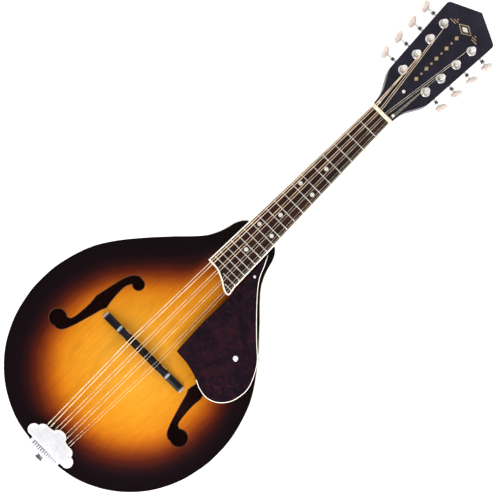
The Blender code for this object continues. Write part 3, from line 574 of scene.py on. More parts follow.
def share_at(x, along):
    """How far out a point is: 0 at the arch's centre and 1 at the plate's edge."""
    offset = Vector((x, along - ARCH_CENTRE))
    turn = math.atan2(offset.y, offset.x) / TAU % 1 * DIRECTIONS
    low = int(turn) % DIRECTIONS
    radius = EDGE_RADII[low] + (EDGE_RADII[(low + 1) % DIRECTIONS] - EDGE_RADII[low]) * (turn - int(turn))
    spare = radius - CONTOUR_RADIUS
    if abs(spare) < 1e-3:
        return offset.length / CONTOUR_RADIUS
    root = math.sqrt(max(0.0, CONTOUR_RADIUS ** 2 + 4 * spare * offset.length))
    return (root - CONTOUR_RADIUS) / (2 * spare)


def arch(share):
    """Height of the arch, from 0 at the edge to 1 at the centre."""
    return math.sin(math.pi / 2 * max(0.0, (RECURVE - share) / RECURVE)) ** 1.3


def top_height(x, along):
    return TOP_EDGE + TOP_ARCH * arch(share_at(x, along))


def contour(outline, share):
    """The arch's contour line: the outline when share is 1, and nearly a circle towards the centre."""
    line = []
    for x, y in outline:
        ray = Vector((x, y - ARCH_CENTRE))
        spot = ray.normalized() * (share * share * ray.length + share * (1 - share) * CONTOUR_RADIUS)
        line.append(Vector((spot.x, spot.y + ARCH_CENTRE)))
    return line


def paint(obj, value):
    """Store value(x, along, z), in millimetres, in the point attribute that the finishes read: the burst with
    its painted shade, and the bridge's painted highlights.
    """
    attribute = obj.data.attributes.new("ring", "FLOAT", "POINT")
    numbers = [value(v.co.x / MM, v.co.y / MM - BRIDGE_LINE, v.co.z / MM) for v in obj.data.vertices]
    attribute.data.foreach_set("value", numbers)


def burst_and_shade_at(x, along):
    """The burst value, darkened towards the bass side and the neck as painted shade, away from the light on
    the treble side and the tail, and lighter in a patch under the strings at the board's end.
    """
    share = share_at(x, along)
    # lean darkens the bass side and the neck: painted shade.
    lean = max(0.0, (0.6 * along - x) / 200)
    light = math.exp(-((x - 6) / 17) ** 2 - ((along - 112) / 32) ** 2)
    return share + 0.01 + 0.5 * lean * share * (1 - share) - 0.14 * light


def f_cutter(side):
    """A cutter for one f-hole, which widens at the plate's face and so leaves a narrow chamfer."""
    outline = smooth([(54.5, 53.3), (59.5, 53.6), (65, 50), (69.2, 42.5), (72.6, 30), (75.4, 17.5),
                      (77.6, 7.2)], 5)
    outline += smooth([(77.6, 7.2), (76.6, -2), (77, -14), (78.2, -24), (80, -29), (83.8, -31)], 5)
    outline += arc((90.5, -38), 9.5, 133, -116, 24)
    outline += smooth([(86.2, -46.6), (82, -46.3), (77.6, -42.3), (73.9, -34), (71.3, -26), (68.8, -17.5),
                       (66.3, -8.8), (63.9, 0), (61.4, 5.5)], 4)
    outline += smooth([(61.4, 5.5), (63, 15), (63.8, 27.5), (63.2, 36), (60.6, 41.6)], 5)
    outline += arc((54.5, 47), 6.4, -38, -270, 20)
    outline = counterclockwise(thinned([Vector((side * p.x, p.y)) for p in outline], 0.3))
    chamfer, depth = 0.75, 0.8
    wide = inset(outline, -chamfer)
    face = [top_height(*p) for p in outline]
    rings = [at(outline, TOP_EDGE - 13), [(*p, h - depth) for p, h in zip(outline, face)],
             [(*p, h + 0.06) for p, h in zip(wide, face)], at(wide, TOP_EDGE + 27)]
    return loft(rings, slots=[1] * 3)


def arched_plate(name, edge, rise, finishes, node):
    """A carved plate: contour lines that shrink towards the arch's centre, on both faces."""
    outline = inset(BODY, BINDING + 0.04)
    steps = 40
    outer = [(1 - k / steps, edge) for k in range(steps)]
    inner = [(share, edge - math.copysign(PLATE, rise)) for share, _ in outer[::-1]]
    rings = [at(contour(outline, share), level + rise * arch(share)) for share, level in inner + outer]
    bands = [1] * (steps - 1) + [0] * (steps + 1)
    return make(name, loft(rings, slots=bands), WORLD, finishes, node, sharp=30)


def body_ring(name, section, finishes, node, sharp=40, slots=None):
    """A section of (inset, height) points carried round the body's outline."""
    rings = [at(inset(BODY, depth), height) for depth, height in section]
    return make(name, loft(rings, endless=True, slots=slots), WORLD, finishes, node, sharp=sharp)


def body():
    top = arched_plate("spruce_top", TOP_EDGE, TOP_ARCH, [SPRUCE, RAW], "top_plate")
    carve(top, [f_cutter(1), f_cutter(-1)], sharp=30)
    paint(top, lambda x, along, z: burst_and_shade_at(x, along))
    back = arched_plate("mahogany_back", BACK_EDGE, BACK_ARCH, [BACK_WOOD, SHADED_INSIDE], "back_plate")
    paint(back, lambda x, along, z: share_at(x, along))
    outer, inner, lining, wall = 0.8, 3.2, 6.0, 9.0
    low, high = BACK_EDGE + PLATE, TOP_EDGE - PLATE
    middle, half = (low + high) / 2, (high - low) / 2
    section = [(outer, low + (high - low) * k / 10) for k in range(11)]
    section += [(lining, high), (lining, high - wall), (inner, high - wall - 3), (inner, low + wall + 3),
                (lining, low + wall), (lining, low)]
    rim = body_ring("mahogany_rim", section, [BACK_WOOD, SHADED_INSIDE], "rim", slots=[0] * 10 + [1] * 7)
    paint(rim, lambda x, along, z: 0.62 + 0.33 * min(1.0, abs(z - middle) / half) ** 2)
    for name, edge, out in (("top_binding", TOP_EDGE, 1), ("back_binding", BACK_EDGE, -1)):
        high = edge + 0.25 * out
        section = [(depth, high - out * fall) for depth, fall in (
            (BINDING, PLATE + 0.25), (0, PLATE + 0.25), (0, 0.6), (0.16, 0.2), (0.5, 0), (BINDING - 0.2, 0),
            (BINDING, 0.1))]
        body_ring(f"cream_{name}", section, CREAM_AND_HIGHLIGHT, name, sharp=60)


# Neck and headstock

BOARD = 5.5                    # thickness of the fingerboard
NUT_WIDTH = 28.0
BOARD_TAPER = 0.0261
HEADSTOCK = 14.5
OVERLAY = 2.0
HEEL_FACE = 178.4
ROD_DEPTH = 11.0               # of the truss rod's axis under the fingerboard's face
HEAD_HALF = [(0, 157.2), (31.2, 141.6), (33.2, 140.2), (33.9, 137.3), (31.4, 97), (29.4, 64), (28.1, 43),
             (27.3, 39), (25.6, 34.5), (21.6, 27.2), (17.8, 20.5), (15.5, 14), (14.3, 8)]
POST_FIRST = 48.9              # nearest post, from the nut
POST_STEP = 23.0
POST_NEAR = 16.8               # nearest post, from the centre line
POST_SPLAY = 3.3               # degrees
POST_RADIUS = 3.0


def board_half(along_board):
    return NUT_WIDTH / 2 + BOARD_TAPER * (SCALE_LENGTH - along_board)


def plane_height(along):
    """Height of the fingerboard's face above the floor."""
    return PLANE_HEIGHT - along * NECK_SLOPE


def seam_height(along):
    """Height of the neck's flat upper face above the floor."""
    return plane_height(along) - (BOARD + 0.05) / NECK_COS


def post_place(side, index):
    """X and Y of a tuner's post on the headstock's face."""
    splay = math.radians(POST_SPLAY)
    return (side * (POST_NEAR + index * POST_STEP * math.sin(splay)),
            POST_FIRST + index * POST_STEP * math.cos(splay))


def tuner_plane(side):
    """A plane of the headstock's face whose Y runs along one row of posts, from the nearest one."""
    return HEAD @ move(side * POST_NEAR, POST_FIRST) @ spin(-side * POST_SPLAY, "Z")


def head_outline(start):
    """The headstock's outline, with the corners of its wings eased."""
    half = [Vector(p) for p in HEAD_HALF] + [Vector((14, start))]
    eased = [half[0]]
    for a, b, c in zip(half, half[1:], half[2:]):
        reach = min(0.35, 2.5 / (b - a).length, 2.5 / (c - b).length)
        p, q = b.lerp(a, reach), b.lerp(c, reach)
        eased += [p, (p + 2 * b + q) / 4, q]
    eased.append(half[-1])
    return eased[::-1] + [Vector((-p.x, p.y)) for p in eased[1:]]


def neck_section(along, depth, power):
    """A half-round section of the neck, from the treble edge to the bass edge."""
    width = board_half(along / NECK_COS) - 0.1
    top = seam_height(along) - max(0.0, along - HEAD_START)
    points = []
    for turn in (math.pi * k / 28 for k in range(29)):
        across = math.copysign(abs(math.cos(turn)) ** power, math.cos(turn))
        points.append((width * across, along, top - depth * math.sin(turn) ** 0.85))
    return points


def neck():
    stations = smooth([(HEEL_FACE, 51.5, 1.5), (180.5, 50, 1.45), (183, 45.5, 1.4), (186, 38, 1.3),
                       (190, 30.5, 1.2), (195, 24.5, 1.1), (202, 20, 1.0), (215, 17, 0.9), (240, 16, 0.85),
                       (280, 15.2, 0.82), (320, 14.4, 0.8), (350, 13.6, 0.8), (HEAD_START - 0.6, 12.6, 0.8),
                       (HEAD_START + 2, 9, 0.8)], 4)
    wood = make("mahogany_neck", loft([neck_section(*s) for s in stations]), WORLD, NECK_WOOD, "neck")
    near, far = 122, HEEL_FACE + 3  # the tongue between the top plate and the fingerboard
    half = board_half(far) - 3
    rows = []
    for along in (near + (far - near) * k / 12 for k in range(13)):
        high = seam_height(along) - 0.02
        low = max(top_height(x, min(along, HEEL_FACE - 2.4)) for x in (0, half / 2, half)) + 0.3
        rows.append([(half, along, low), (half, along, high), (-half, along, high), (-half, along, low)])
    carve(wood, [loft(rows)], operation="UNION")
    carve(wood, [slab(head_outline(0.1), -HEADSTOCK, -OVERLAY - 0.05, 0.0, 4, 1.6)], HEAD, operation="UNION")
    face = make("lacquered_overlay", slab(head_outline(0.3), -OVERLAY, 0, 0.45, 3, 0.01), HEAD, LACQUER,
                "headstock_overlay", sharp=50)
    hole = [(POST_RADIUS + 0.35, -HEADSTOCK - 2), (POST_RADIUS + 0.35, 3)]
    for piece in (wood, face):
        holes = [turned(hole, 20, matrix=move(*post_place(side, k)))
                 for side, _ in SIDES for k in range(4)]
        carve(piece, holes + [box((-4.6, 2.2, -10), (4.6, 28, 4))], HEAD, sharp=40)
    carve(wood, [turned([(2.7, 199.7), (2.7, 378)], 20, matrix=move(z=-ROD_DEPTH) @ spin(-90, "X"))], NECK)
    paint(wood, lambda x, along, z:
          0.25 + 0.7 * min(1.0, max(0.0, 1 - (along - HEEL_FACE) / 60, (along - 300) / 60)))
    cap = [(-17.6, 178.5), (17.6, 178.5), (15, 180.1), (9, 181.3), (0, 181.8), (-9, 181.3), (-15, 180.1)]
    make("heel_cap", slab([(0.98 * x, y) for x, y in cap], 17.2, 18.8, 0.0, 2, 0.3), WORLD, CREAM_AND_HIGHLIGHT)


def lozenge(y, half_wide, half_long):
    return [Vector(p) for p in ((half_wide, y), (0, y + half_long), (-half_wide, y), (0, y - half_long))]


def ornament():
    """A plain geometric inlay down the headstock: a framed lozenge with bars, and a row of small lozenges."""
    gold = bmesh.new()
    centre, thick = 130, 0.08
    border, hollow = lozenge(centre, 9.5, 6.2), lozenge(centre, 7.9, 4.9)
    loft([at(hollow, 0.0), at(border, 0.0), at(border, thick), at(hollow, thick)], endless=True, bm=gold)
    for side, _ in SIDES:
        for k, start, stop in ((-1, 12.0, 19.5), (0, 10.6, 16.5), (1, 12.0, 14.0)):
            low, high = centre + 2.6 * k - 0.55, centre + 2.6 * k + 0.55
            bar = [(side * start, low), (side * stop, low), (side * stop, high), (side * start, high)]
            slab(counterclockwise(bar), 0.0, thick, bm=gold)
    for k in range(9):
        size = (1.4, 1.7) if k % 2 else (2.5, 3.0)
        slab(lozenge(116.5 - 8 * k, *size), 0.0, thick, bm=gold)
    make("gold_inlay", gold, HEAD, GOLD, sharp=0)
    make("pearl_inlay", slab(lozenge(centre, 4.6, 2.9), 0.0, thick), HEAD, PEARL, sharp=0)


def cross_head():
    """A domed screw head of unit radius with a crossed recess, its top along +Z."""
    dome = turned([(1.0, -0.15), (1.0, 0.02), (0.94, 0.16), (0.8, 0.27), (0.55, 0.36), (0.25, 0.4)], 28)
    obj = linked(as_mesh(dome, "screw"), "screw")
    obj.data.materials.append(NICKEL)
    slots = [box((-0.62, -0.11, 0.12), (0.62, 0.11, 1)), box((-0.11, -0.62, 0.12), (0.11, 0.62, 1))]
    carve(obj, slots, Matrix.Scale(1 / MM, 4))
    bm = bmesh.new()
    bm.from_mesh(obj.data)
    bpy.data.objects.remove(obj)
    return bm


SCREW = cross_head()


def screws(name, spots, plane, facing=Matrix()):
    """Screw heads at (place, radius, turn) spots of a plane. facing turns +Z to where they look."""
    bm = bmesh.new()
    for place, radius, turn in spots:
        stamp(bm, SCREW, move(*place) @ facing @ Matrix.Rotation(turn, 4, "Z") @ Matrix.Scale(radius, 4))
    make(name, bm, plane, NICKEL, sharp=35)


def hexagon(sides):
    """Relief that makes a turned ring of this many sides a hexagon with its corners at the ring's radius."""
    def flats(k, radius, height):
        turn = (TAU * k / sides + math.pi / 6) % (math.pi / 3) - math.pi / 6
        return radius * (math.cos(math.pi / 6) / math.cos(turn) - 1)
    return flats


def truss_rod():
    line = smooth([(11.3, 1.6), (12.2, 4.5), (10.6, 8), (8, 12), (6.4, 18), (5.2, 25), (4.2, 30.5),
                   (2.4, 34.3), (0, 35.6)], 4)
    outline = counterclockwise(thinned(line + [Vector((-p.x, p.y)) for p in line[-2::-1]]))
    make("bell_cover", slab(outline, 0.05, 1.9, 0.7, 3, 0.05), HEAD, COVER_BLACK, "truss_rod_cover", sharp=50)
    screws("cover_screws", [((0, 31.8, 1.9), 1.9, 0.4), ((10.1, 4.3, 1.9), 1.7, 0.9),
                            ((-10.1, 4.3, 1.9), 1.7, 0.1)], HEAD)
    axis = NECK @ move(z=-ROD_DEPTH) @ spin(-90, "X")
    make("adjusting_rod", turned([(2.2, 200), (2.4, 200.3), (2.4, 375.6), (2.1, 376)], 20), axis, STEEL,
         "truss_rod")
    profile = [(2.7, 367, 0), (3.3, 367, 1), (3.55, 367.4, 1), (3.55, 376.6, 1), (3.3, 377, 1), (2.7, 377, 0)]
    make("brass_rod_nut", turned(profile, 30, relief=hexagon(30), endless=True), axis, BRASS, "truss_rod_nut",
         "truss_rod_nut")


# Fingerboard

FRETS = 20
SHORT_FRETS = {19: 0.5, 20: 9.7}  # where the last two start, across from the centre line
BOARD_END = [(21.6, 109), (21.2, 106.4), (19, 105.4), (15, 106), (10, 108.6), (5, 112), (-2.5, 115.5),
             (-8, 117.4), (-20.6, 118)]
DOTS = {5: (0,), 7: (-8.7, 8.7), 10: (0,), 12: (-9, 9), 15: (0,)}


def board_path(distance):
    """The fingerboard's side and end line, treble nut corner to bass nut corner, moved inwards."""
    nut_end = SCALE_LENGTH - 0.05
    treble = [(board_half(a), a) for a in (nut_end, 240, 116)]
    bass = [(-board_half(a), a) for a in (240, nut_end)]
    path = inset(treble + smooth(BOARD_END, 4) + bass, -distance, closed=False)
    path[0].y = path[-1].y = nut_end
    return path


def fret_place(number):
    return SCALE_LENGTH * 2 ** (-number / 12)


def fingerboard():
    board = counterclockwise(board_path(BINDING + 0.02))
    make("rosewood_board", slab(board, -BOARD, 0, 0.12, 1, 0.01), NECK, ROSEWOOD, "fingerboard")
    section = [(BINDING, -BOARD), (0.1, -BOARD), (0.1, -0.7), (0.25, -0.25), (0.6, 0.0), (BINDING, 0.02)]
    lines = [at(board_path(depth), height) for depth, height in section]
    make("cream_board_binding", loft(zip(*lines)), NECK, CREAM_AND_HIGHLIGHT, "fingerboard_binding", sharp=60)
    frets, dots, marks = bmesh.new(), bmesh.new(), bmesh.new()
    crown = [(0.75 * math.cos(math.pi * k / 8), math.sin(math.pi * k / 8)) for k in range(9)]
    for number in range(1, FRETS + 1):
        place = fret_place(number)
        reach = board_half(place) - 0.55
        start = SHORT_FRETS.get(number, -reach)
        rises = [(start, 0.35), (start + 0.35, 0.8), (start + 0.9, 1.0), ((start + reach) / 2, 1.0),
                 (reach - 0.9, 1.0), (reach - 0.35, 0.8), (reach, 0.35)]
        loft([[(x, place + y, 0.02 + rise * z) for y, z in crown] for x, rise in rises], bm=frets)
    for number, spots in DOTS.items():
        middle = (fret_place(number) + fret_place(number - 1)) / 2
        for k, x in enumerate(spots):
            turned([(2.3, -0.3), (2.3, 0.03), (2.2, 0.05)], 28, dots, move(x, middle))
            edge = move(0.2 - board_half(middle), middle + 4 * k - 2 * (len(spots) - 1), -2.2)
            turned([(0.8, 0), (0.8, 0.14)], 16, marks, edge @ spin(-90, "Y"))
    make("frets", frets, NECK, FRET_METAL, sharp=50)
    make("pearl_dots", dots, NECK, PEARL)
    make("side_dots", marks, NECK, COVER_BLACK)


# Strings: radius, place across at the tailpiece, bridge and nut, and the post each one goes to
STRINGS = {"G1": (0.455, -18.0, -19.9, -11.5, 0), "G2": (0.455, -14.0, -16.7, -9.3, 1),
           "D1": (0.305, -8.5, -7.7, -4.6, 2), "D2": (0.305, -4.5, -4.5, -2.4, 3),
           "A1": (0.18, 3.0, 4.5, 2.4, 3), "A2": (0.18, 7.0, 7.7, 4.6, 2),
           "E1": (0.125, 12.0, 16.7, 9.3, 1), "E2": (0.125, 15.0, 19.9, 11.5, 0)}
STRING_AT_NUT = 1.5            # the strings' lower side, above the fingerboard's face
STRING_AT_SADDLE = 4.1
HOOK_PLACE = -127.7
HOOK_HEIGHT = 65.5


def nut():
    """A bone nut with a slot for each string."""
    half, top, floor = NUT_WIDTH / 2 - 0.05, 1.95, STRING_AT_NUT - 0.02
    line = [(-half, top - 0.5), (-half + 0.5, top)]
    for radius, _, _, x, _ in STRINGS.values():
        line += [(x - radius - 0.12, top), (x - radius - 0.04, floor), (x + radius + 0.04, floor),
                 (x + radius + 0.12, top)]
    line += [(half - 0.5, top), (half, top - 0.5)]
    rings = []
    for along, drop in ((SCALE_LENGTH + 0.02, 0.35), (SCALE_LENGTH + 0.3, 0.0), (SCALE_LENGTH + 3.0, 0.0),
                        (SCALE_LENGTH + 3.9, 0.4), (HEAD_START - 0.2, 1.1)):
        rings.append([(-half, along, -BOARD), *[(x, along, z - drop * (z - 0.4)) for x, z in line],
                      (half, along, -BOARD)])
    make("bone_nut", loft(rings), NECK, BONE, "nut")


# Pickguard

GUARD_LEVEL = -3.0             # of the guard's face, from the fingerboard's
GUARD_THICK = 1.7
GUARD_OUTER = [(20.6, 167), (26.2, 156), (33.7, 140), (50, 120.5), (75, 95), (92, 79), (101.2, 64),
               (105.5, 52), (105.8, 42), (102.5, 29), (94, 18.2), (82, 13), (69, 14.4), (55, 20.8),
               (40, 24.6)]
GUARD_INNER = [(23.8, 25.8), (21.9, 70), (22.9, 104), (22.0, 130)]
GUARD_SCREW = Vector((73.5, 64.25))


def pickguard():
    """The raised guard, the cream of its outer bevel a painted highlight, and its screws."""
    outer = smooth(GUARD_OUTER, 6)
    outline = outer + [Vector(p) for p in GUARD_INNER]
    lit_bevel = [i < len(outer) - 8 for i in range(len(outline))]
    rings = []
    for depth, level in ((0.25, -GUARD_THICK), (0.0, -GUARD_THICK + 0.25), (0.0, -0.75), (0.1, -0.6),
                         (0.8, -0.06), (0.95, 0.0)):
        eased = [o.lerp(m, 1.0 if b else 0.15) for o, m, b in zip(outline, inset(outline, -depth), lit_bevel)]
        rings.append(at(eased, GUARD_LEVEL + level))
    bm = loft(rings)
    bm.faces.ensure_lookup_table()
    # Faces of the outer bevel take the cream finish as a painted highlight.
    for i, here in enumerate(lit_bevel):
        if here and lit_bevel[(i + 1) % len(outline)]:
            bm.faces[3 * len(outline) + i].material_index = 1
    make("tortoise_guard", bm, NECK, [TORTOISE, CREAM_AND_HIGHLIGHT], "pickguard", sharp=25)
    washer = turned([(1.5, 0), (2.8, 0.02), (2.8, 0.3), (2.5, 0.45), (1.5, 0.45)],
                    matrix=move(*GUARD_SCREW, GUARD_LEVEL))
    make("guard_washer", washer, NECK, NICKEL)
    screws("guard_screws", [((*GUARD_SCREW, GUARD_LEVEL + 0.5), 1.8, 0.7),
                            ((26.75, 140, GUARD_LEVEL + 0.05), 1.5, 0.2)], NECK)


def bracket():
    """A bent strip from under the guard's screw, over the edge and down to a screw in the rim."""
    outward = Vector((0.68, 0.733)).normalized()
    side = Vector((outward.y, -outward.x))
    under = plane_height(GUARD_SCREW.y) + GUARD_LEVEL - GUARD_THICK - 0.9
    line = smooth([(-6, under - 2.3), (8, under - 3.3), (22, under - 4.9), (26.0, under - 6.2),
                   (26.9, under - 8.5), (26.9, under - 13), (26.9, 34)], 5)
    rings = []
    for i, point in enumerate(line):
        run = (line[min(i + 1, len(line) - 1)] - line[max(i - 1, 0)]).normalized()
        ring = []
        for offset, sign in ((-4, -1), (4, -1), (4, 1), (-4, 1)):
            spot = point + Vector((-run.y, run.x)) * 0.65 * sign
            ring.append((*(GUARD_SCREW + outward * spot.x + side * offset), spot.y))
        rings.append(ring)
    make("bent_bracket", loft(rings), WORLD, NICKEL, "pickguard_bracket", sharp=35)
    facing = Matrix.Rotation(math.atan2(outward.y, outward.x), 4, "Z") @ spin(90, "Y")
    centre = GUARD_SCREW + outward * 27.6
    bm = stamp(bmesh.new(), SCREW, move(*centre, 39) @ facing @ Matrix.Scale(2.6, 4))
    turned([(1.9, under - 3.0), (1.9, under + 0.85)], 20, bm, move(*GUARD_SCREW))
    make("bracket_screws", bm, WORLD, NICKEL, sharp=35)


# Bridge

SADDLE_LOW = 83.5
WHEEL_LOW = 80.8
BRIDGE_HALF = 57.0
BRIDGE_FLAT = 79.0             # height of the base's middle
BRIDGE_WIDE = 4.2              # half of the base's width
BRIDGE_POST = 1.75
BRIDGE_POST_PLACE = 27.0       # of the two posts, from the centre line


def bridge_base():
    """A base shaped to the top, with two threaded posts."""
    rings = []
    for x in (-BRIDGE_HALF + 1.5 * k for k in range(77)):
        end = abs(x) >= BRIDGE_HALF - 1
        low = max(top_height(x, y) for y in (-BRIDGE_WIDE, 0, BRIDGE_WIDE)) + 0.05
        fall = max(0.0, (abs(x) - 35) / (BRIDGE_HALF - 35))
        high = max(BRIDGE_FLAT - 5.5 * fall ** 0.8, low + 2.0)
        ease, w = (1.6, BRIDGE_WIDE - 0.6) if end else (0.9, BRIDGE_WIDE)
        half = [(w, low), (w, high - ease), (w - 0.3, high - 0.3 * ease), (w - ease, high)]
        rings.append([(x, -w, low), *[(x, y, z) for y, z in half], *[(x, -y, z) for y, z in half[:0:-1]]])
    base = make("ebonised_base", loft(rings), WORLD, EBONISED_HIGHLIGHTED, "bridge_base", sharp=50)
    # The end facets are painted pale as a highlight.
    paint(base, lambda x, along, z: 0.7 * min(1.0, max(0.0, (abs(x) - 55) / 2)))
    profile = [(BRIDGE_POST - 0.2, BRIDGE_FLAT - 1.5)]
    for z in (BRIDGE_FLAT - 1 + 0.7 * k for k in range(11)):
        profile += [(BRIDGE_POST, z), (BRIDGE_POST - 0.25, z + 0.35)]
    profile.append((BRIDGE_POST - 0.4, 86.2))
    posts = bmesh.new()
    for side, _ in SIDES:
        turned(profile, 20, posts, move(side * BRIDGE_POST_PLACE))
    make("threaded_posts", posts, WORLD, BRASS, sharp=60)


def bridge_saddle():
    """A compensated saddle with a groove for each string and a hole for each post."""
    top = plane_height(0) + STRING_AT_SADDLE + 0.12
    leans = [(-38, -0.9), (-12.3, -0.9), (-12.1, 0.9), (-0.1, 0.9), (0.1, -0.5), (12.1, -0.5), (12.3, 1.0),
             (38, 1.0)]
    rings = []
    for x in sorted({-37 + 0.74 * k for k in range(101)} | {x for x, _ in leans[1:-1]}):
        lean = next(a[1] + (b[1] - a[1]) * (x - a[0]) / (b[0] - a[0])
                    for a, b in zip(leans, leans[1:]) if a[0] <= x <= b[0])
        high = top - 4.0 * max(0.0, (abs(x) - 22.5) / 14.5) ** 1.6
        low = SADDLE_LOW + max(0.0, (abs(x) - 35.5) * 0.8)
        w = 3.1 if abs(x) > 36.5 else 3.6
        foot = [(w - 0.3, low), (w, low + 0.3), (w, low + 2.0), (w - 0.5, low + 2.5)]
        crest = [(0.75, high - 0.35), (0.35, high), (-0.35, high), (-0.75, high - 0.35)]
        rings.append([(x, 0.3 - w, low), *[(x, y, z) for y, z in foot],
                      *[(x, lean + y, z) for y, z in crest], *[(x, -y, z) for y, z in foot[:0:-1]]])
    saddle = make("ebonised_saddle", loft(rings), WORLD, EBONISED_HIGHLIGHTED, "bridge_saddle", "saddle")
    cutters = [tube([(x, -6, top + radius - 0.1), (x, 6, top + radius - 0.1)], radius + 0.06)
               for radius, _, x, _, _ in STRINGS.values()]
    cutters += [turned([(BRIDGE_POST + 0.3, SADDLE_LOW - 1), (BRIDGE_POST + 0.3, 88.0)], 20,
                       matrix=move(side * BRIDGE_POST_PLACE)) for side, _ in SIDES]
    carve(saddle, cutters, sharp=40)
    # A pale band near each end of the saddle is a painted highlight.
    paint(saddle, lambda x, along, z: 0.65 * max(0.0, 1 - abs(abs(x) - 35.6) / 2.2))


def thumbwheels():
    """Knurled wheels, each with a bore for its post."""
    low, high = WHEEL_LOW, SADDLE_LOW - 0.25
    profile = [(2.05, low, 0), (4.9, low, 0), (5.4, low + 0.45, 1), (5.4, high - 0.45, 1), (4.9, high, 0),
               (2.05, high, 0)]
    for side, word in SIDES:
        knurled = turned(profile, 72, matrix=move(side * BRIDGE_POST_PLACE), endless=True,
                         relief=lambda k, radius, height: -0.22 * (k % 2))
        make(f"knurled_wheel_{word}", knurled, WORLD, BRASS, f"bridge_wheel_{word}", f"bridge_wheel_{word}",
             sharp=30)


# Tailpiece

TAIL_PLATE_TOP = 63.5
COVER_LOBES = [((24.5, -139.5), 6.8, -75, 75, 12), ((17, -134), 7.6, -5, 105, 10),
               ((0, -128.6), 9.2, 20, 160, 16), ((-17, -134), 7.6, 75, 185, 10),
               ((-24.5, -139.5), 6.8, 105, 255, 12)]
CLOUD = thinned([p for lobe in COVER_LOBES for p in arc(*lobe)], 0.1)
COVER_CENTRE = Vector((0, -138))
COVER_ROOF = 72.0
COVER_WALL = 1.1
STRAP_LEVEL = 38.0             # height of the strap button's axis
TAIL_END = -160.0              # outer face of the strap button


def domed(outline, skirt, roof):
    """A low dome over the outline, with a rolled edge."""
    rings = []
    for share, level in ((1.0, skirt), (1.0, roof - 3.2), (0.99, roof - 2.3), (0.965, roof - 1.6),
                         (0.93, roof - 1.15), (0.86, roof - 0.75), (0.75, roof - 0.45), (0.6, roof - 0.22),
                         (0.4, roof - 0.07), (0.18, roof)):
        rings.append([(*(COVER_CENTRE + (p - COVER_CENTRE) * share), level) for p in outline])
    return loft(rings)


def tailpiece_base():
    """A bent plate with its hooks, its teeth on a comb, and its screws."""
    wide, top, end = 20.0, TAIL_PLATE_TOP, -152.8
    upper = [(-127, top - 0.3), (-127.3, top), (-150.6, top), (-152.2, top - 0.35), (-153.4, top - 1.2),
             (-154.1, top - 2.6), (-154.2, top - 3.6), (-154.2, 28.3), (-153.9, 28)]
    lower = [(end, 28), (end, top - 3.8), (-152.2, top - 2.0), (-150.2, top - 1.5), (-127, top - 1.5)]
    rings = []
    for x in (-wide, -wide + 0.3, wide - 0.3, wide):
        shrink = 0.25 if abs(x) == wide else 0.0
        rings.append([(x, y + (shrink if y < -152 else 0), z - (shrink if z > 63 else 0)) for y, z in upper]
                     + [(x, y, z) for y, z in lower])
    base = make("chromed_base", loft(rings), WORLD, CHROME, "tailpiece_base", sharp=30)
    hole = [(2.9, TAIL_END + 4), (2.9, TAIL_END + 22)]
    carve(base, [turned(hole, 24, matrix=move(z=STRAP_LEVEL) @ spin(-90, "X"))], sharp=30)
    hooks = bmesh.new()
    for _, x, _, _, _ in STRINGS.values():
        tube(smooth([(x, -129.2, top - 0.4), (x, -129.2, top + 2.0), (x, -129.7, top + 3.0),
                     (x, -131.2, top + 3.2)], 5), 0.75, bm=hooks)
    for x in (-14 + 2.8 * k for k in range(11)):
        box((x - 0.6, -151.2, top - 0.2), (x + 0.6, -147.4, top + 0.6), 0.25, hooks)
    make("hooks", hooks, WORLD, CHROME, sharp=60)
    comb = box((-16.2, -151.5, top - 0.2), (16.2, -146.9, top + 0.12), 0.1)
    make("comb", comb, WORLD, STEEL, sharp=60)
    spots = ((-12, 55), (12, 55), (0, 49.5), (-12, 32.5), (12, 32.5))
    screws("base_screws", [((x, -154.2, z), 2.0, x) for x, z in spots], WORLD, spin(90, "X"))


def tailpiece_cover():
    """The lobed cover, open towards the strings."""
    skirt = TAIL_PLATE_TOP + 0.1
    cover = make("cloud_cover", domed(CLOUD, skirt, COVER_ROOF), WORLD, CHROME, "tailpiece_cover",
                 "tailpiece_cover", 30)
    inner = [p + (COVER_CENTRE - p).normalized() * COVER_WALL for p in CLOUD]
    carve(cover, [domed(inner, skirt - 2 - COVER_WALL, COVER_ROOF - COVER_WALL),
                  box((-21, -131, skirt - 2), (21, -110, 69.6))], sharp=35)


def strap_button():
    axis = WORLD @ move(0, TAIL_END, STRAP_LEVEL) @ spin(-90, "X")
    profile = [(3.6, 0), (4.1, 0.12), (4.5, 0.45), (4.7, 1.0), (4.5, 1.6), (4.0, 2.4), (3.5, 3.2), (3.4, 4.0),
               (4.0, 5.0), (4.0, 5.3), (2.6, 5.4), (2.6, 22)]
    make("turned_strap_button", turned(profile, 40), axis, GUNMETAL, "strap_button",
         sharp=30)
    screws("strap_screw", [((0, 0, 0), 2.4, 0.0)], axis, spin(180, "X"))


# Tuners

PLATE_TOP = -HEADSTOCK - 0.05
PLATE_LOW = PLATE_TOP - 1.2
GEAR_TOP = -16.3
GEAR_THICK = 4.0
GEAR_TEETH = 14
TOOTH = (0.0, 0.25, 0.85, 1.0, 0.85, 0.25)
WORM_OFFSET = 7.7              # of a key's axis from its post's
SHAFT_LEVEL = GEAR_TOP - GEAR_THICK / 2
SHAFT = 1.5
THREAD_HALF = 4.1
THREAD_PITCH = 2.1
BUTTON_PLACES = {1: 23.6, -1: 26.4}
POST_HOLE = 7.6                # height of the string's hole through its post


def gear_mesh():
    """A worm wheel with eased teeth and a boss."""
    low, high = GEAR_TOP - GEAR_THICK, GEAR_TOP
    profile = [(2.3, low + 0.02, 0), (4.15, low + 0.02, 1), (4.27, low + 0.25, 1), (4.27, high - 0.25, 1),
               (4.15, high - 0.02, 1), (2.3, high - 0.02, 0)]
    return turned(profile, 6 * GEAR_TEETH, relief=lambda k, radius, height: 0.95 * TOOTH[k % 6], endless=True)


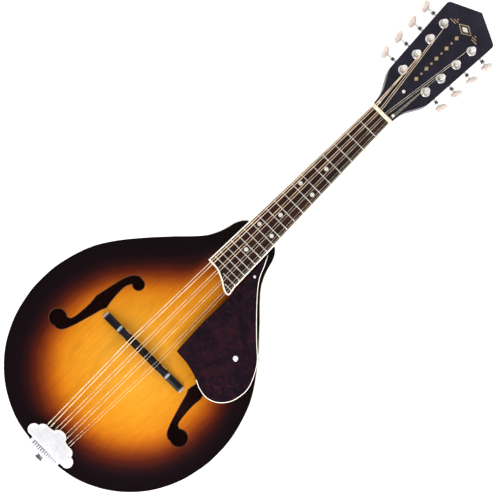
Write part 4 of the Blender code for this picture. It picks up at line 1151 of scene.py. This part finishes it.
def worm_mesh():
    """The worm shaft about +Z: a thread between plain ends and a collar outside the far lug."""
    def thread(k, radius, height):
        phase = (height / THREAD_PITCH - k / 24) % 1
        crest = max(0.0, min(1.0, 2.2 - abs(phase - 0.5) * 6.5))
        return 0.68 * crest * max(0.0, min(1.0, (THREAD_HALF - abs(height)) / 0.5))

    profile = [(SHAFT, -7.6), (SHAFT, -4.7)]
    profile += [(SHAFT, THREAD_HALF * (k / 32 - 1), 1) for k in range(65)]
    profile += [(SHAFT, 4.7), (SHAFT, 6.8), (2.4, 6.9), (2.6, 7.2), (2.6, 8.2), (2.3, 8.5), (1.7, 8.7),
                (1.6, 23.8)]
    return turned(profile, 24, relief=thread)


def button_mesh(place):
    """An oval button, thin across its face, that leans outwards at its head end."""
    rings = []
    for t in (-1 + 2 * k / 14 for k in range(15)):
        share = max(0.0, 1 - abs(t) ** 2.6) ** 0.5 * 0.86 + 0.14
        ring = []
        for turn in (TAU * i / 32 for i in range(32)):
            across = 7.1 * share * math.copysign(abs(math.sin(turn)) ** 0.9, math.sin(turn))
            ring.append((3.3 * share ** 0.7 * math.cos(turn), across, place + 3.9 * t + 0.2 * across))
        rings.append(ring)
    return loft(rings)


def tuner_plate(word, plane):
    """A strip under the headstock whose lugs carry the four worm shafts."""
    name = f"tuner_plate_{word}"
    outline = arc((0, -6), 7.6, 180, 360, 24) + arc((0, 3 * POST_STEP + 11), 7.6, 0, 180, 24)
    strip = make(f"nickel_{name}", slab(outline, PLATE_LOW, PLATE_TOP, 0.05, 1, 0.35), plane, NICKEL, name,
                 sharp=35)
    tongue = [(-2.6, PLATE_LOW + 0.3), (-2.6, SHAFT_LEVEL - 0.6)]
    tongue += [(p.x, SHAFT_LEVEL - 0.4 + p.y * 2.4 / 2.6) for p in arc((0, 0), 2.6, 190, 350, 8)]
    tongue += [(2.6, SHAFT_LEVEL - 0.6), (2.6, PLATE_LOW + 0.3)]
    lugs, bores = bmesh.new(), []
    for index in range(4):
        middle = index * POST_STEP + WORM_OFFSET
        for ends in ((5.25, 6.55), (-6.55, -5.25)):
            loft([[(x, middle + y, z) for y, z in tongue] for x in ends], bm=lugs)
        bores.append(tube([(-8, middle, SHAFT_LEVEL), (8, middle, SHAFT_LEVEL)], 1.85, 20))
        bores.append(turned([(POST_RADIUS + 0.4, PLATE_LOW - 2), (POST_RADIUS + 0.4, PLATE_TOP + 2)], 24,
                            matrix=move(0, index * POST_STEP)))
    carve(strip, [lugs], plane, operation="UNION")
    carve(strip, bores, plane, sharp=35)
    screws(f"{name}_screws", [((0, y, PLATE_LOW), 1.9, y) for y in (-9.5, 15.2, 38.2, 61.2, 83.5)], plane,
           spin(180, "X"))


def tuners():
    gear, worm = gear_mesh(), worm_mesh()
    collar = turned([(1.65, 13.9), (2.3, 14.0), (2.5, 14.3), (2.5, 14.9), (1.8, 15.2), (1.8, 15.9),
                     (2.5, 16.2), (2.5, 16.8), (2.3, 17.1), (1.65, 17.2)], 24)
    profile = [(1.2, 10.95), (2.0, 11.0), (2.6, 10.85), (2.95, 10.4), (3.0, 9.9), (3.0, 9.3), (2.85, 8.9),
               (2.4, 8.4), (2.4, 5.8), (2.85, 5.3), (3.0, 4.9), (3.0, GEAR_TOP - 0.5), (2.2, GEAR_TOP - 0.5),
               (2.2, GEAR_TOP - GEAR_THICK - 0.6), (1.8, GEAR_TOP - GEAR_THICK - 0.9)]
    bushing = [(3.15, -1.0, 0), (4.6, -1.0, 0), (4.6, 0.02, 0), (5.0, 0.06, 0), (5.05, 0.3, 0),
               (4.9, 0.45, 0), (4.8, 0.5, 1), (4.8, 2.1, 1), (4.5, 2.5, 0.6), (4.2, 2.6, 0), (4.0, 2.5, 0),
               (3.8, 1.0, 0), (3.15, 0.9, 0)]
    for side, word in SIDES:
        plane = tuner_plane(side)
        tuner_plate(word, plane)
        button = button_mesh(BUTTON_PLACES[side])
        sleeves = bmesh.new()
        for index in range(4):
            string = next(name for name, data in STRINGS.items() if data[4] == index and data[1] * side > 0)
            turned(bushing, 48, sleeves, move(0, index * POST_STEP), hexagon(48), endless=True)
            seat = plane @ move(0, index * POST_STEP)
            key = seat @ move(0, WORM_OFFSET, SHAFT_LEVEL) @ spin(90 * side, "Y")
            post_body, key_body = f"string_post_{string}", f"tuner_key_{string}"
            post = make(f"slotted_post_{string}", turned(profile, 28), seat, NICKEL, post_body, post_body, 30)
            carve(post, [tube([(0, -4, POST_HOLE), (0, 4, POST_HOLE)], 0.75, 14)], seat, sharp=30)
            make(f"gear_{string}", gear.copy(), seat, BRASS, None, post_body, 45)
            make(f"worm_{string}", worm.copy(), key, NICKEL, f"tuner_shaft_{string}", key_body, 50)
            make(f"collar_{string}", collar.copy(), key, GUNMETAL, None, key_body, 50)
            make(f"button_{string}", button.copy(), key, PEARLOID, f"tuner_button_{string}", key_body, 60)
        button.free()
        make(f"bushings_{word}", sleeves, plane, NICKEL, sharp=35)
    for bm in (gear, worm, collar):
        bm.free()


# Strings

def strings():
    """Each string in three lengths, with its loop at the hooks and its winding on the post."""
    from_head, from_neck = WORLD.inverted() @ HEAD, WORLD.inverted() @ NECK
    for name, (radius, tail_x, saddle_x, nut_x, index) in STRINGS.items():
        side = 1 if tail_x > 0 else -1
        finish, rounds = (WOUND, 2.6) if name[0] in "GD" else (PLAIN, 4.2)
        hook = Vector((tail_x, HOOK_PLACE + radius, HOOK_HEIGHT))
        saddle = from_neck @ Vector((saddle_x, 0, STRING_AT_SADDLE + radius))
        start = from_neck @ Vector((nut_x, SCALE_LENGTH + 0.6, STRING_AT_NUT + radius))
        stop = from_neck @ Vector((nut_x, HEAD_START - 0.4, STRING_AT_NUT + radius - 0.15))
        reach = 2.42 + radius      # of the wire's middle from the post's axis
        post_x, post_y = post_place(side, index)
        post = from_head @ Vector((post_x - side * reach, post_y, POST_HOLE))
        for word, a, b, low in (("tail", hook, saddle, hook.z), ("speaking", saddle, start, start.z)):
            points = [a.lerp(b, k / 24) for k in range(25)]
            piece = make(f"{word}_{name}", tube(points, radius), WORLD, finish, f"string_{name}", sharp=60)
            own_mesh(piece)
        make(f"headstock_{name}", tube([start, stop, post], radius), WORLD, finish)
        circle = [polar(1.0, 0.25 - k / 20) for k in range(21)]
        loop = tube([hook + Vector((1.35 * p.x, -1.3 - 1.5 * p.y, -0.2)) for p in circle],
                    max(radius * 0.6, 0.16), 8)
        tube([hook, hook.lerp(saddle, 0.06)], radius + 0.2, bm=loop)
        make(f"loop_{name}", loop, WORLD, PLAIN, sharp=60)
        coil = [(*(polar(-side * reach, -side * k / 24)), POST_HOLE - (2 * radius + 0.03) * k / 24)
                for k in range(int(rounds * 24) + 1)]
        seat = tuner_plane(side) @ move(0, index * POST_STEP)
        make(f"winding_{name}", tube(coil, radius, 8), seat, finish, None, f"string_post_{name}", 60)


# The inside and the studio

def inside():
    """The blocks and bars keep the CAD's own shapes."""
    for node in ("neck_block", "tail_block", "bass_tone_bar", "treble_tone_bar"):
        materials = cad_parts[node].data.materials
        materials.clear()
        # They take the darkened inner wood, painted shade for the inside of the body.
        materials.append(SHADED_INSIDE)


def area_light(name, place, target, size, power):
    light = bpy.data.lights.new(name, "AREA")
    light.shape = "DISK"
    light.size = size
    light.energy = power
    obj = linked(light, name)
    obj.location = place
    obj.rotation_euler = (Vector(target) - Vector(place)).to_track_quat("-Z", "Y").to_euler()


def tent():
    """A white light tent that is dimmer overhead, so that flat varnish mirrors little glare."""
    world = bpy.data.worlds.new("tent")
    world.use_nodes = True
    tree = world.node_tree
    split = tree.nodes.new("ShaderNodeSeparateXYZ")
    tree.links.new(tree.nodes.new("ShaderNodeTexCoord").outputs["Generated"], split.inputs[0])
    ramp = tree.nodes.new("ShaderNodeValToRGB")
    tree.links.new(split.outputs["Z"], ramp.inputs["Fac"])
    low, high = ramp.color_ramp.elements
    low.position, low.color = 0.55, (1, 1, 1, 1)
    high.position, high.color = 0.9, (0.6, 0.6, 0.61, 1)
    background = tree.nodes["Background"]
    tree.links.new(ramp.outputs["Color"], background.inputs["Color"])
    background.inputs["Strength"].default_value = 1.3
    return world


FRAME_WIDTH = 0.5283           # width of the view at the bridge's height, in metres
BRIDGE_HEIGHT = 0.088
CAMERA_DISTANCE = 12.0
CAMERA_CENTRE = (0.0033, -0.0179)
CAMERA_TURN = 44.92            # degrees
SENSOR = 36.0


def studio():
    scene = bpy.context.scene
    bm = bmesh.new()
    bmesh.ops.create_grid(bm, x_segments=1, y_segments=1, size=6.0)
    floor = linked(as_mesh(bm, "floor"), "floor")
    paper = Finish("paper", Base_Color=srgb(250, 250, 250), Roughness=0.9, Emission_Strength=0.45,
                   Emission_Color=srgb(255, 255, 255))
    floor.data.materials.append(paper.material)
    scene.world = tent()
    area_light("key", (0.6, -0.65, 0.85), (0.02, -0.1, 0), 0.7, 9.5)
    area_light("fill", (-1.6, 0.9, 2.4), (0, 0.05, 0), 1.8, 6)
    data = bpy.data.cameras.new("camera")
    data.sensor_width = SENSOR
    data.lens = SENSOR * CAMERA_DISTANCE / FRAME_WIDTH
    data.clip_end = 50.0
    camera = linked(data, "camera")
    camera.location = (*CAMERA_CENTRE, BRIDGE_HEIGHT + CAMERA_DISTANCE)
    camera.rotation_euler = (0, 0, math.radians(CAMERA_TURN))
    scene.camera = camera
    scene.view_settings.view_transform = "Standard"


for build in (body, neck, ornament, truss_rod, fingerboard, nut, pickguard, bracket, bridge_base,
              bridge_saddle, thumbwheels, tailpiece_base, tailpiece_cover, strap_button, tuners, strings,
              inside, studio):
    build()
SCREW.free()

bpy.context.view_layer.update()
